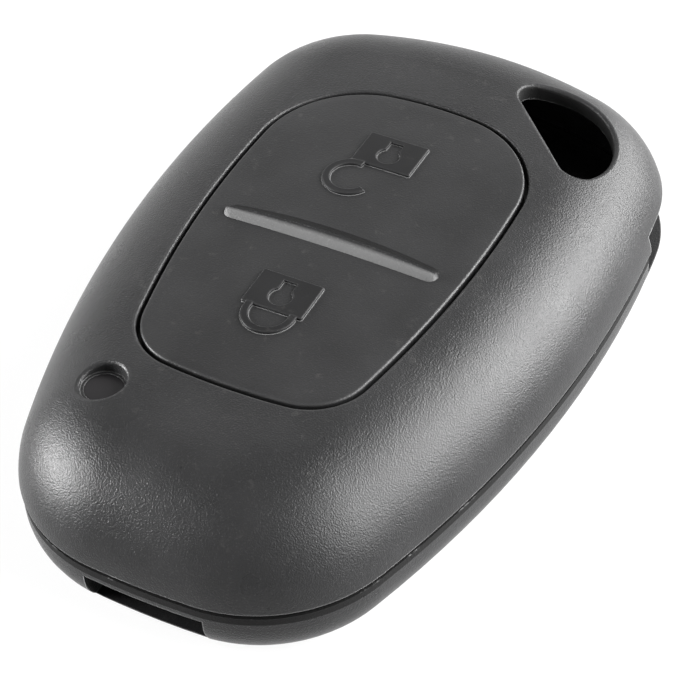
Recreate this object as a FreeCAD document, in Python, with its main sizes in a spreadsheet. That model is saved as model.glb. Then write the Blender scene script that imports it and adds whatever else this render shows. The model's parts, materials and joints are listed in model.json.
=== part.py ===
"""Two-button car key fob: two case halves, a hinged button pad and the electronics inside.

Frame: +Z points out of the buttons, the flat back lies on z = 0 and the origin is under the
middle of the plan. +Y points to the key ring end, -Y to the blade socket end. Millimetres.
"""
import FreeCAD
import Part
import Sketcher
import os
import re
from math import atan2, cos, hypot, pi, radians, sin, sqrt

# Driving dimensions, each written once. The sheet holds them and every feature is bound to it.
SIZES = {
    # Case outline in plan: arcs for the sides and ends, joined by tangent corner arcs
    "case_length": 62.0,
    "case_half_width": 19.75,
    "case_widest_y": 7.7,
    "case_side_radius": 98.5,
    "case_near_radius": 69.5,
    "case_far_radius": 39.5,
    "case_near_corner": 12.1,
    "case_far_corner": 11.6,
    # Case in height
    "parting_z": 5.4,
    "top_z": 14.55,
    "wall": 1.5,
    "floor_thick": 1.5,
    "roof_thick": 1.95,
    "draft_angle": 1.35,
    "shoulder_radius": 8.6,
    "shoulder_margin": 0.5,
    "belly_radius": 4.0,
    "belly_inset": 0.15,
    "crown_across": 171.0,
    "crown_along": 497.0,
    # How far a cutting shape reaches past what it cuts
    "cut_over": 1.0,
    # Seam between the halves and the lip that locates them
    "seam_gap": 0.55,
    "seam_depth": 0.6,
    "lip_gap": 0.12,
    "lip_thick": 0.8,
    "lip_drop": 1.1,
    # Button pad outline in plan, along the middle of the gap round it, with its ends placed from the case's
    "pad_near_end": 13.3,
    "pad_far_end": 13.65,
    "pad_half_width": 11.25,
    "pad_widest_y": 4.8,
    "pad_side_radius": 87.0,
    "pad_near_radius": 40.8,
    "pad_far_radius": 32.6,
    "pad_near_corner": 5.1,
    "pad_far_corner": 8.5,
    "pad_clearance": 0.15,
    "pad_rim_round": 0.22,
    "flange_width": 0.9,
    "flange_thick": 0.7,
    "flange_gap": 0.1,
    "flange_clear": 0.25,
    # Fixed bridge across the pad and its raised bar
    "bridge_y": -0.75,
    "bridge_width": 2.6,
    "hinge_gap": 0.15,
    "bar_length": 18.3,
    "bar_width": 1.9,
    "bar_bow": 0.5,
    "bar_height": 0.5,
    "bar_round": 0.42,
    # Padlock symbols moulded on the buttons
    "symbol_x": -0.4,
    "symbol_height": 0.22,
    "symbol_width": 5.1,
    "symbol_depth": 3.75,
    "lock_symbol_y": -7.8,
    "unlock_symbol_y": 10.05,
    "shackle_radius": 2.15,
    "shackle_thick": 0.62,
    "shackle_leg": 0.3,
    "shackle_shift": 0.9,
    "shackle_drop": 1.95,
    "shackle_open_start": 85.0,
    "shackle_open_sweep": 245.0,
    "keyhole_radius": 0.92,
    "keyhole_shift": 0.35,
    "keyhole_slot": 1.1,
    "keyhole_length": 1.2,
    # Actuator posts and switches
    "post_arm": 9.0,
    "post_radius": 1.5,
    "post_length": 0.85,
    "post_gap": 0.05,
    "switch_width": 6.0,
    "switch_floor": 0.93,
    "switch_cover_thick": 0.3,
    "plunger_radius": 1.7,
    "plunger_fit": 0.06,
    "plunger_proud": 0.7,
    "plunger_travel": 0.3,
    "dome_thick": 0.15,
    "dome_rise": 0.12,
    "dome_top_radius": 0.77,
    # Lens over the indicator, placed from the left side and the near end
    "lens_in": 11.45,
    "lens_end": 10.35,
    "lens_radius": 1.45,
    "lens_fit": 0.03,
    "lens_hole_radius": 1.75,
    "lens_drop": 1.65,
    "lens_gap": 0.3,
    "rim_round": 0.3,
    # Key ring passage through the far right corner, turned to face it
    "ring_angle": 45.0,
    "ring_side_gap": 11.16,
    "ring_end_gap": 12.79,
    "ring_radius": 6.15,
    "ring_flat": 0.2,
    "ring_corner": 1.5,
    "ring_wall": 1.2,
    "mouth_shift": 2.7,
    "mouth_half": 5.5,
    "mouth_rise": 2.2,
    "mouth_drop": 2.0,
    # Blade socket in the near end
    "blade_width": 9.8,
    "blade_low_z": 1.2,
    "blade_high_z": 4.35,
    "blade_depth": 13.0,
    "blade_wall": 1.2,
    "blade_roof": 0.8,
    # Pegs on the upper half and bosses on the lower half
    "peg_radius": 0.9,
    "peg_root_radius": 1.5,
    "peg_fit": 0.05,
    "peg_floor_gap": 1.1,
    "bore_floor_gap": 0.2,
    "boss_radius": 2.0,
    "near_peg_gap": 0.5,
    "near_peg_end": 5.7,
    "far_peg_gap": 1.45,
    "far_peg_end": 9.2,
    "side_peg_in": 4.75,
    "side_peg_y": 6.8,
    # Circuit board
    "board_inset": 3.1,
    "board_gap": 0.35,
    "board_thick": 1.0,
    "board_hole_gap": 0.25,
    "board_ring_gap": 0.5,
    "solder": 0.05,
    # Coin cell and its contacts
    "cell_x": -1.5,
    "cell_end": 27.5,
    "cell_radius": 10.0,
    "cell_thick": 1.6,
    "cell_rim": 0.35,
    "cap_inset": 1.2,
    "cell_gap": 0.3,
    "cup_wall": 1.0,
    "cup_height": 2.1,
    "contact_thick": 0.25,
    "contact_width": 4.0,
    "contact_foot": 3.0,
    "contact_slope": 4.5,
    # Parts on the board
    "controller_width": 6.6,
    "controller_depth": 4.4,
    "controller_height": 1.2,
    "transmitter_width": 4.0,
    "transmitter_height": 0.9,
    "crystal_length": 5.0,
    "crystal_width": 3.2,
    "crystal_height": 1.1,
    "resonator_width": 3.8,
    "resonator_height": 1.5,
    "lid_inset": 0.28,
    "indicator_width": 2.0,
    "indicator_depth": 1.4,
    "indicator_cap_radius": 0.6,
    "indicator_height": 0.9,
    "ferrite_length": 9.0,
    "ferrite_width": 2.4,
    "ferrite_height": 2.4,
    "winding_length": 6.4,
    "winding_thick": 0.35,
    "coil_x": -2.0,
    "coil_end": 11.5,
    "chip_part_length": 1.6,
    "chip_part_width": 0.8,
    "chip_part_height": 0.6,
    "controller_y": -0.8,
    "row_gap": 3.2,
    "resonator_y": -8.0,
    "lead_width": 0.4,
    "lead_reach": 0.7,
    "lead_stand": 0.15,
    "column_in": 7.55,
    "column_y": -11.0,
    "column_pitch": 2.4,
    # Transponder in the lower half
    "transponder_length": 11.0,
    "transponder_width": 5.0,
    "transponder_height": 2.8,
    "transponder_x": -3.2,
    "transponder_end": 11.8,
    "transponder_gap": 0.15,
}

doc = FreeCAD.newDocument("key_fob")
sheet = doc.addObject("Spreadsheet::Sheet", "Sizes")
for row, (alias, number) in enumerate(SIZES.items(), start=1):
    sheet.set(f"A{row}", alias)
    sheet.set(f"B{row}", str(number))
    sheet.setAlias(f"B{row}", alias)
doc.recompute()

NODES = {}
# How near an edge lies to a place to be taken for the edge there
NEARBY = 0.1
LEAD_COUNT = 6
CAPACITOR_COUNT = 6
RESISTOR_COUNT = 5


def size(*names):
    """Sum of sheet sizes as a number; a name with a leading minus is taken away."""
    return sum(-getattr(sheet, n[1:]) if n.startswith("-") else getattr(sheet, n) for n in names)


def bound(text):
    """An expression in which each size name points at the sheet."""
    return re.sub(r"[a-z][a-z_]+", lambda m: "Sizes." + m.group() if m.group() in SIZES else m.group(), text)


def tie(thing, prop, text):
    thing.setExpression(prop, bound(text))


def total(names):
    """The same sum as size() gives, as an expression."""
    return " ".join("- " + n[1:] if n.startswith("-") else "+ " + n for n in ("0",) + tuple(names))


def node(label, thing):
    """Marks an object as a finished piece of the fob."""
    thing.Label = label
    NODES[label] = thing
    return thing


def place(thing, x="0", y="0", z="0"):
    for axis, text in zip("xyz", (x, y, z)):
        tie(thing, f"Placement.Base.{axis}", text)
    return thing


def box(name, x, y, z, length, width, height):
    """A block from its middle in x and y and its lowest z."""
    b = doc.addObject("Part::Box", name)
    tie(b, "Length", length)
    tie(b, "Width", width)
    tie(b, "Height", height)
    return place(b, f"({x}) - ({length}) / 2", f"({y}) - ({width}) / 2", z)


def cylinder(name, x, y, z, radius, height):
    c = doc.addObject("Part::Cylinder", name)
    tie(c, "Radius", radius)
    tie(c, "Height", height)
    return place(c, x, y, z)


def fuse(name, *shapes):
    f = doc.addObject("Part::MultiFuse", name)
    f.Shapes = list(shapes)
    return f


def common(name, *shapes):
    c = doc.addObject("Part::MultiCommon", name)
    c.Shapes = list(shapes)
    return c


def cut(name, base, tool):
    c = doc.addObject("Part::Cut", name)
    c.Base = base
    c.Tool = tool
    return c


def corner_box(name, along_low, along_high, out_low, out_high, z_low, z_high):
    """A block lined up with the diagonal through the key ring corner."""
    b = doc.addObject("Part::Box", name)
    tie(b, "Length", f"({along_high}) - ({along_low})")
    tie(b, "Width", f"({out_high}) - ({out_low})")
    tie(b, "Height", f"({z_high}) - ({z_low})")
    b.Placement.Rotation = FreeCAD.Rotation(FreeCAD.Vector(0, 0, 1), -size("ring_angle"))
    a, o = f"({along_low})", f"({out_low})"
    turn = "(ring_angle * 1 deg)"
    return place(b, f"{a} * cos({turn}) + {o} * sin({turn})", f"{o} * cos({turn}) - {a} * sin({turn})", z_low)


def plane(body, role):
    return next(f for f in body.Origin.OriginFeatures if f.Role == role)


def sketch_on(body, name, role="XY_Plane", height=None, turn=0.0):
    """A sketch on one of the body's own planes, lifted to a height and turned about Z."""
    s = body.newObject("Sketcher::SketchObject", name)
    s.AttachmentSupport = (plane(body, role), [""])
    s.MapMode = "FlatFace"
    if turn:
        s.AttachmentOffset.Rotation = FreeCAD.Rotation(FreeCAD.Vector(0, 0, 1), turn)
    if height is not None:
        prop = "AttachmentOffset.Base.y" if role == "XZ_Plane" else "AttachmentOffset.Base.z"
        tie(s, prop, height)
    return s


def constrain(s, *spec, text=None):
    """Adds a constraint and, given an expression, binds its value."""
    i = s.addConstraint(Sketcher.Constraint(*spec))
    if text is not None:
        tie(s, f"Constraints[{i}]", text)
    return i


def circle_meeting(c1, r1, c2, r2):
    """The meeting point of two circles with the larger x."""
    dx, dy = c2[0] - c1[0], c2[1] - c1[1]
    d = hypot(dx, dy)
    a = (r1 * r1 - r2 * r2 + d * d) / (2 * d)
    rise = sqrt(r1 * r1 - a * a)
    mx, my = c1[0] + a * dx / d, c1[1] + a * dy / d
    return max((mx - rise * dy / d, my + rise * dx / d), (mx + rise * dy / d, my - rise * dx / d))


def outline_family(family):
    """Ends, widest point and radii of an outline, as lists of size names."""
    if family == "case":
        ends = ("- case_length / 2", "case_length / 2")
        near, far = -size("case_length") / 2, size("case_length") / 2
    else:
        ends = ("pad_near_end - case_length / 2", "case_length / 2 - pad_far_end")
        near = size("pad_near_end") - size("case_length") / 2
        far = size("case_length") / 2 - size("pad_far_end")
    return ends, near, far


def outline(body, name, family, inset, height):
    """Rounded trapezoid: near end, corner, side and so on, as eight tangent arcs, moved in by an inset."""
    ends, near, far = outline_family(family)
    move = size(*inset) if inset else 0.0
    radius = {part: size(f"{family}_{part}") for part in
              ("side_radius", "near_radius", "far_radius", "near_corner", "far_corner")}
    side = (size(f"{family}_half_width") - radius["side_radius"], size(f"{family}_widest_y"))
    near_mid = (0.0, near + radius["near_radius"])
    far_mid = (0.0, far - radius["far_radius"])
    near_corner = circle_meeting(side, radius["side_radius"] - radius["near_corner"],
                                 near_mid, radius["near_radius"] - radius["near_corner"])
    far_corner = circle_meeting(side, radius["side_radius"] - radius["far_corner"],
                                far_mid, radius["far_radius"] - radius["far_corner"])

    def angle(centre, point):
        return atan2(point[1] - centre[1], point[0] - centre[0])

    a_near = angle(near_mid, near_corner)
    a_side_low = angle(side, near_corner)
    a_side_high = angle(side, far_corner)
    a_far = angle(far_mid, far_corner)
    right = [("near_corner", near_corner, a_near, a_side_low), ("side_radius", side, a_side_low, a_side_high),
             ("far_corner", far_corner, a_side_high, a_far)]
    left = [(part, (-c[0], c[1]), pi - end, pi - start) for part, c, start, end in reversed(right)]
    arcs = ([("near_radius", near_mid, -pi - a_near, a_near)] + right
            + [("far_radius", far_mid, a_far, pi - a_far)] + left)
    s = sketch_on(body, name, height=height)
    for part, centre, start, end in arcs:
        circle = Part.Circle(FreeCAD.Vector(*centre, 0), FreeCAD.Vector(0, 0, 1), radius[part] - move)
        s.addGeometry(Part.ArcOfCircle(circle, start, end), False)
    for i in range(len(arcs)):
        constrain(s, "Tangent", i, 2, (i + 1) % len(arcs), 1)
    drawn_in = total(inset)
    for i, (part, centre, start, end) in enumerate(arcs):
        constrain(s, "Radius", i, radius[part] - move, text=f"{family}_{part} - ({drawn_in})")
    # Point 3 of an arc is its centre
    constrain(s, "DistanceX", -1, 1, 2, 3, side[0], text=f"{family}_half_width - {family}_side_radius")
    constrain(s, "DistanceY", -1, 1, 2, 3, side[1], text=f"{family}_widest_y")
    constrain(s, "DistanceX", -1, 1, 6, 3, -side[0], text=f"{family}_side_radius - {family}_half_width")
    constrain(s, "DistanceY", -1, 1, 6, 3, side[1], text=f"{family}_widest_y")
    constrain(s, "PointOnObject", 0, 3, -2)
    constrain(s, "DistanceY", -1, 1, 0, 3, near_mid[1], text=f"{ends[0]} + {family}_near_radius")
    constrain(s, "PointOnObject", 4, 3, -2)
    constrain(s, "DistanceY", -1, 1, 4, 3, far_mid[1], text=f"{ends[1]} - {family}_far_radius")
    return s


def polygon(body, name, points, height="0", role="XY_Plane"):
    """A closed sketch of straight lines whose corners are pairs of expressions."""
    s = sketch_on(body, name, role, height)
    count = len(points)
    seeds = [FreeCAD.Vector(cos(2 * pi * i / count), sin(2 * pi * i / count), 0) for i in range(count)]
    for i in range(count):
        s.addGeometry(Part.LineSegment(seeds[i], seeds[(i + 1) % count]), False)
    for i in range(count):
        constrain(s, "Coincident", i, 2, (i + 1) % count, 1)
    for i, (x, y) in enumerate(points):
        constrain(s, "DistanceX", -1, 1, i, 1, seeds[i].x, text=x)
        constrain(s, "DistanceY", -1, 1, i, 1, seeds[i].y, text=y)
    return s


def rectangle(body, name, x_low, x_high, y_low, y_high, height):
    return polygon(body, name, [(x_low, y_low), (x_high, y_low), (x_high, y_high), (x_low, y_high)], height)


def pad(body, name, sketch, length, taper=None):
    """Extrudes upwards; a taper draws the sides in."""
    p = body.newObject("PartDesign::Pad", name)
    p.Profile = sketch
    tie(p, "Length", length)
    if taper:
        tie(p, "TaperAngle", taper)
    return p


def pocket(body, name, sketch, length, upwards=True, taper=None):
    p = body.newObject("PartDesign::Pocket", name)
    p.Profile = sketch
    p.Reversed = upwards
    tie(p, "Length", length)
    if taper:
        tie(p, "TaperAngle", taper)
    return p


def crown_groove(body, name, lift="0"):
    """Cuts off what stands above the crowned top: an arc across the fob, swept along a wider arc."""
    s = sketch_on(body, name + "_sketch", "XZ_Plane", f"top_z + {lift} - crown_along")
    low, high = size("crown_along", "-crown_across"), size("crown_along")
    reach = size("case_half_width", "cut_over")
    clear = high + size("top_z")
    half = atan2(reach, sqrt(size("crown_across") ** 2 - reach ** 2))
    circle = Part.Circle(FreeCAD.Vector(0, low, 0), FreeCAD.Vector(0, 0, 1), size("crown_across"))
    s.addGeometry(Part.ArcOfCircle(circle, pi / 2 - half, pi / 2 + half), False)
    edge = low + size("crown_across") * cos(half)
    frame = [(-reach, edge), (-reach, clear), (reach, clear), (reach, edge)]
    for a, b in zip(frame, frame[1:]):
        s.addGeometry(Part.LineSegment(FreeCAD.Vector(*a, 0), FreeCAD.Vector(*b, 0)), False)
    for a, b in ((0, 1), (1, 2), (2, 3)):
        constrain(s, "Coincident", a, 2, b, 1)
    constrain(s, "Coincident", 3, 2, 0, 1)
    constrain(s, "Vertical", 1)
    constrain(s, "Horizontal", 2)
    constrain(s, "Vertical", 3)
    constrain(s, "PointOnObject", 0, 3, -2)
    constrain(s, "DistanceY", -1, 1, 0, 3, low, text="crown_along - crown_across")
    constrain(s, "Radius", 0, size("crown_across"), text="crown_across")
    constrain(s, "DistanceX", -1, 1, 3, 1, reach, text="case_half_width + cut_over")
    constrain(s, "DistanceX", -1, 1, 1, 1, -reach, text="- case_half_width - cut_over")
    constrain(s, "DistanceY", -1, 1, 2, 1, clear, text="crown_along + top_z")
    groove = body.newObject("PartDesign::Groove", name)
    groove.Profile = s
    groove.ReferenceAxis = (s, ["H_Axis"])
    groove.Midplane = True
    tie(groove, "Angle", "2 * atan(case_length / crown_along)")
    return groove


def edges_where(shape, test):
    """Names of the edges whose middle point and box pass a test."""
    names = []
    for i, edge in enumerate(shape.Edges, start=1):
        middle = edge.valueAt((edge.FirstParameter + edge.LastParameter) / 2)
        if test(middle, edge.BoundBox):
            names.append(f"Edge{i}")
    return names


def round_edges(body, name, feature, test, radius):
    """Fillets the edges of the last feature that pass the test."""
    doc.recompute()
    names = edges_where(feature.Shape, test)
    if not names:
        raise RuntimeError(f"{name}: no edge found")
    f = body.newObject("PartDesign::Fillet", name)
    f.Base = (feature, names)
    tie(f, "Radius", radius)
    return f


def new_body(name):
    return doc.addObject("PartDesign::Body", name)


def ring_middle():
    """Turn of the key ring passage and the middle of its hole in plan."""
    return (radians(size("ring_angle")), size("case_half_width", "-ring_side_gap"),
            size("case_length") / 2 - size("ring_end_gap"))


def ring_sketch(body, name, height):
    """D shape of the key ring hole: a flat towards the pad, a wide arc and two small corner arcs."""
    s = sketch_on(body, name, height=height, turn=-size("ring_angle"))
    big, small, flat = size("ring_radius"), size("ring_corner"), size("ring_flat")
    turn, mid_x, mid_y = ring_middle()
    mid = (mid_x * cos(turn) - mid_y * sin(turn), mid_x * sin(turn) + mid_y * cos(turn))
    reach = sqrt((big - small) ** 2 - (flat + small) ** 2)
    right = (mid[0] + reach, mid[1] + flat + small)
    left = (mid[0] - reach, mid[1] + flat + small)
    swing = atan2(flat + small, reach)
    up = FreeCAD.Vector(0, 0, 1)

    def arc(centre, radius, start, end):
        return Part.ArcOfCircle(Part.Circle(FreeCAD.Vector(*centre, 0), up, radius), start, end)

    s.addGeometry(Part.LineSegment(FreeCAD.Vector(left[0], mid[1] + flat, 0),
                                   FreeCAD.Vector(right[0], mid[1] + flat, 0)), False)
    s.addGeometry(arc(right, small, -pi / 2, swing), False)
    s.addGeometry(arc(mid, big, swing, pi - swing), False)
    s.addGeometry(arc(left, small, pi - swing, 3 * pi / 2), False)
    for i in range(4):
        constrain(s, "Tangent", i, 2, (i + 1) % 4, 1)
    constrain(s, "Horizontal", 0)
    constrain(s, "Radius", 1, small, text="ring_corner")
    constrain(s, "Radius", 2, big, text="ring_radius")
    constrain(s, "Radius", 3, small, text="ring_corner")
    constrain(s, "DistanceX", -1, 1, 2, 3, mid[0], text=RING_SIDE)
    constrain(s, "DistanceY", -1, 1, 2, 3, mid[1], text=RING_OUT)
    constrain(s, "DistanceY", 2, 3, 0, 1, flat, text="ring_flat")
    return s


def circle_sketch(body, name, x, y, radius, height):
    s = sketch_on(body, name, height=height)
    s.addGeometry(Part.Circle(FreeCAD.Vector(1, 1, 0), FreeCAD.Vector(0, 0, 1), 1), False)
    constrain(s, "DistanceX", -1, 1, 0, 3, 1, text=x)
    constrain(s, "DistanceY", -1, 1, 0, 3, 1, text=y)
    constrain(s, "Radius", 0, 1, text=radius)
    return s


def case_slice(name, inset, z_low, height, taper=None):
    """A straight or tapered block with the outline of the case moved in."""
    body = new_body(name)
    s = outline(body, name + "_outline", "case", inset, z_low)
    pad(body, name + "_pad", s, height, taper)
    return body


def case_ring(name, outer, inner, z_low, height):
    """A band that follows the outline of the case."""
    return cut(name, case_slice(name + "_outer", outer, z_low, height),
               case_slice(name + "_inner", inner, f"{z_low} - cut_over", f"{height} + 2 * cut_over"))


def crown_height(x, y):
    """Height of the crowned top, close enough to tell its edges from others."""
    return size("top_z") - x * x / size("crown_across") / 2 - y * y / size("crown_along") / 2


def on_crown(p):
    return abs(p.z - crown_height(p.x, p.y)) < NEARBY


# Places worked out from the sizes
ROOF = "(top_z - roof_thick)"
# The shoulder leaves a strip of straight wall above the seam
SHOULDER = "min(shoulder_radius; top_z - parting_z - shoulder_margin)"
LENS_TOP = "(top_z - lens_drop)"
LENS_X = "(lens_in - case_half_width)"
LENS_Y = "(lens_end - case_length / 2)"
PLATE_LOW = f"({ROOF} - flange_gap - flange_thick)"
BLADE_TOP = "(blade_high_z + blade_roof)"
BOARD_LOW = f"({BLADE_TOP} + board_gap)"
BOARD_TOP = f"({BOARD_LOW} + board_thick)"
COLUMN_X = "(case_half_width - column_in)"
ROW_X = f"({COLUMN_X} - row_gap)"
CELL_Y = "(case_length / 2 - cell_end)"
TRANSPONDER_Y = "(case_length / 2 - transponder_end)"
COIL_Y = "(case_length / 2 - coil_end)"
# The switches fill the height between the board and the posts of the buttons
PLUNGER_TOP = f"({PLATE_LOW} - post_length - post_gap)"
SWITCH_TOP = f"({PLUNGER_TOP} - plunger_proud)"
SWITCH_WELL = f"({BOARD_TOP} + switch_floor)"
PLUNGER_LOW = f"({SWITCH_WELL} + dome_thick + dome_rise + plunger_travel)"
# Hinge lines of the two buttons, at the edges of the bridge, and the posts that they carry
UNLOCK_HINGE = "bridge_y + bridge_width / 2 + hinge_gap / 2"
LOCK_HINGE = "bridge_y - bridge_width / 2 - hinge_gap / 2"
UNLOCK_POST = f"{UNLOCK_HINGE} + post_arm"
LOCK_POST = f"{LOCK_HINGE} - post_arm"
# Middle of the key ring hole, in plan and then across and along the way out of its corner
RING_X = "(case_half_width - ring_side_gap)"
RING_Y = "(case_length / 2 - ring_end_gap)"
RING_SIDE = f"({RING_X} * cos(ring_angle * 1 deg) - {RING_Y} * sin(ring_angle * 1 deg))"
RING_OUT = f"({RING_X} * sin(ring_angle * 1 deg) + {RING_Y} * cos(ring_angle * 1 deg))"
RING_FACE = f"({RING_OUT} + ring_flat)"
# Pegs beside the blade socket, beside the transponder tray and at the right side
NEAR_PEG_X = "(blade_width / 2 + blade_wall + boss_radius + near_peg_gap)"
NEAR_PEG_Y = "(near_peg_end - case_length / 2)"
FAR_PEG_X = "(transponder_x - transponder_length / 2 - transponder_gap - cup_wall - far_peg_gap)"
PEGS = (("near_left", f"- {NEAR_PEG_X}", NEAR_PEG_Y), ("near_right", NEAR_PEG_X, NEAR_PEG_Y),
        ("far_left", FAR_PEG_X, "case_length / 2 - far_peg_end"),
        ("side", "case_half_width - side_peg_in", "side_peg_y"))
PEG_TIP = "(floor_thick + peg_floor_gap)"


def ring_mouth(name, z_low, z_high):
    """The opening in the corner of the rim that the key ring comes out of."""
    middle = f"{RING_SIDE} + mouth_shift"
    return corner_box(name, f"{middle} - mouth_half", f"{middle} + mouth_half", RING_FACE,
                      f"{RING_OUT} + case_length / 2", z_low, z_high)


def ring_partition(name, z_low, z_high):
    """Wall between the key ring passage and the electronics."""
    return corner_box(name, f"{RING_SIDE} - case_length / 2", f"{RING_SIDE} + case_length / 2",
                      f"{RING_FACE} - ring_wall", RING_FACE, z_low, z_high)


def upper_form():
    """Outside of the upper half, with its openings, still solid."""
    body = new_body("upper_form")
    s = outline(body, "upper_outline", "case", (), "parting_z")
    pad(body, "upper_block", s, "top_z - parting_z + cut_over", "- draft_angle")
    crown = crown_groove(body, "upper_crown")
    high = size("top_z") - size("shoulder_radius") / 2
    last = round_edges(body, "shoulder", crown, lambda p, b: p.z > high, SHOULDER)
    window = outline(body, "pad_window_outline", "pad", ("-pad_clearance",), f"{ROOF} - cut_over")
    last = pocket(body, "pad_window", window, "roof_thick + 2 * cut_over")
    pad_wide = size("pad_half_width", "pad_clearance") + NEARBY
    last = round_edges(body, "pad_window_rim", last,
                       lambda p, b: on_crown(p) and abs(p.x) < pad_wide, "pad_rim_round")
    narrow = circle_sketch(body, "lens_hole_circle", LENS_X, LENS_Y, "lens_radius + lens_fit",
                           f"{ROOF} - 2 * cut_over")
    pocket(body, "lens_hole", narrow, "roof_thick + 3 * cut_over")
    wide = circle_sketch(body, "lens_recess_circle", LENS_X, LENS_Y, "lens_hole_radius", LENS_TOP)
    last = pocket(body, "lens_recess", wide, "lens_drop + cut_over")
    lens_x, lens_y = size("lens_in", "-case_half_width"), size("lens_end") - size("case_length") / 2
    near_lens = size("lens_hole_radius") + NEARBY
    last = round_edges(body, "lens_rim", last,
                       lambda p, b: p.z > size("top_z", "-lens_drop") + NEARBY
                       and hypot(p.x - lens_x, p.y - lens_y) < near_lens, "rim_round")
    last = pocket(body, "ring_hole", ring_sketch(body, "ring_hole_outline", "0"), "top_z + cut_over")
    mid_x, mid_y = ring_middle()[1:]
    round_edges(body, "ring_rim", last,
                lambda p, b: b.ZMin > size("parting_z") + NEARBY
                and hypot(p.x - mid_x, p.y - mid_y) < size("ring_radius") + NEARBY, "rim_round")
    return body


def upper_shell():
    cavity = case_slice("upper_cavity", ("wall",), "parting_z - cut_over", f"{ROOF} - parting_z + cut_over",
                        "- draft_angle")
    round_edges(cavity, "upper_cavity_shoulder", cavity.Tip,
                lambda p, b: b.ZMin > size("top_z", "-roof_thick") - NEARBY, f"{SHOULDER} - wall")
    root_z = f"{BOARD_TOP} + solder"
    roots = [cylinder(f"peg_root_{name}", x, y, root_z, "peg_root_radius", "top_z") for name, x, y in PEGS]
    tips = [cylinder(f"peg_tip_{name}", x, y, PEG_TIP, "peg_radius", f"{root_z} + lip_thick - {PEG_TIP}")
            for name, x, y in PEGS]
    kept = fuse("upper_kept", ring_partition("upper_partition", "parting_z", f"{ROOF} + cut_over"), *roots)
    seat = new_body("flange_seat")
    pad(seat, "flange_seat_block", outline(seat, "flange_seat_outline", "pad", ("-flange_width", "-flange_clear"),
                                           f"{PLATE_LOW} - cut_over"), "cut_over + flange_gap + flange_thick")
    shell = cut("upper_walls", upper_form(), fuse("upper_space", cut("upper_hollow", cavity, kept), seat))
    lip_inset = ("belly_inset", "wall", "lip_gap")
    lip_core = case_slice("lip_core", lip_inset + ("lip_thick",), "parting_z - lip_drop - cut_over",
                          "lip_drop + lip_thick + 2 * cut_over")
    lip_low = case_slice("lip_low", lip_inset, "parting_z - lip_drop", "lip_drop + lip_thick")
    lip_high = case_slice("lip_high", ("wall", "-lip_gap"), "parting_z", "lip_thick")
    boss_gaps = [cylinder(f"lip_gap_{name}", x, y, "0", "boss_radius + lip_gap", "parting_z + lip_thick")
                 for name, x, y in PEGS]
    lip_gaps = fuse("lip_gaps", lip_core, *boss_gaps,
                    box("lip_gap_blade", "0", "- case_length / 2", "0",
                        "blade_width + 2 * blade_wall + 2 * lip_gap", "blade_depth", f"{BLADE_TOP} + lip_gap"),
                    corner_box("lip_gap_ring", f"{RING_SIDE} - case_length", f"{RING_SIDE} + case_length",
                               f"{RING_FACE} - ring_wall - lip_gap", f"{RING_OUT} + case_length / 2",
                               "0", "parting_z + lip_thick"))
    lip = cut("lip", fuse("lip_blank", lip_low, lip_high), lip_gaps)
    seam = case_ring("seam_groove", ("-wall",), ("seam_depth",), "parting_z - cut_over", "cut_over + seam_gap")
    openings = fuse("upper_openings", seam,
                    ring_mouth("upper_mouth", "parting_z - cut_over", "parting_z + mouth_rise"))
    return node("upper_shell", cut("upper_shell", fuse("upper_solid", shell, lip, *tips), openings))


def lower_shell():
    belly = case_slice("belly", ("belly_inset",), "0", "parting_z")
    round_edges(belly, "belly_round", belly.Tip, lambda p, b: b.ZMax < NEARBY, "belly_radius")
    cavity = case_slice("lower_cavity", ("belly_inset", "wall"), "floor_thick", "parting_z")
    round_edges(cavity, "lower_cavity_round", cavity.Tip,
                lambda p, b: b.ZMax < size("floor_thick") + NEARBY, "belly_radius - wall")
    socket = box("blade_block", "0", "(blade_depth + blade_wall - case_length) / 2", "0",
                 "blade_width + 2 * blade_wall", "blade_depth + blade_wall", BLADE_TOP)
    cup_top = "floor_thick + cup_height"
    cup_space = fuse("cup_space", cylinder("cup_inner", "cell_x", CELL_Y, "0", "cell_radius + cell_gap",
                                           f"{cup_top} + cut_over"),
                     box("cup_notch", "cell_x + cell_radius + cell_gap", CELL_Y, "0",
                         "2 * cup_wall + cut_over", "contact_width + 2 * cell_gap", f"{cup_top} + cut_over"))
    cup = cut("cell_cup", cylinder("cup_outer", "cell_x", CELL_Y, "0", "cell_radius + cell_gap + cup_wall",
                                   cup_top), cup_space)
    tray = cut("transponder_tray",
               box("tray_outer", "transponder_x", TRANSPONDER_Y, "0",
                   "transponder_length + 2 * transponder_gap + 2 * cup_wall",
                   "transponder_width + 2 * transponder_gap + 2 * cup_wall", cup_top),
               box("tray_inner", "transponder_x", TRANSPONDER_Y, "0",
                   "transponder_length + 2 * transponder_gap",
                   "transponder_width + 2 * transponder_gap", f"{cup_top} + cut_over"))
    partition = ring_partition("lower_partition", "0", "parting_z")
    hollow = cut("lower_hollow", cavity, fuse("lower_walls", socket, cup, tray, partition))
    bosses = [cylinder(f"boss_{name}", x, y, "floor_thick / 2", "boss_radius",
                       f"{BOARD_LOW} - floor_thick / 2") for name, x, y in PEGS]
    bores = [cylinder(f"boss_bore_{name}", x, y, "floor_thick + bore_floor_gap", "peg_radius + peg_fit",
                      BOARD_LOW) for name, x, y in PEGS]
    slot = box("blade_slot", "0", "(blade_depth - case_length - cut_over) / 2", "blade_low_z",
               "blade_width", "blade_depth + cut_over", "blade_high_z - blade_low_z")
    mouth = ring_mouth("lower_mouth", "parting_z - mouth_drop", "parting_z + cut_over")
    openings = fuse("lower_openings", slot, mouth, *bores)
    shell = fuse("lower_solid", cut("lower_shell_walls", belly, hollow), *bosses)
    return node("lower_shell", cut("lower_shell", shell, openings))


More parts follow.
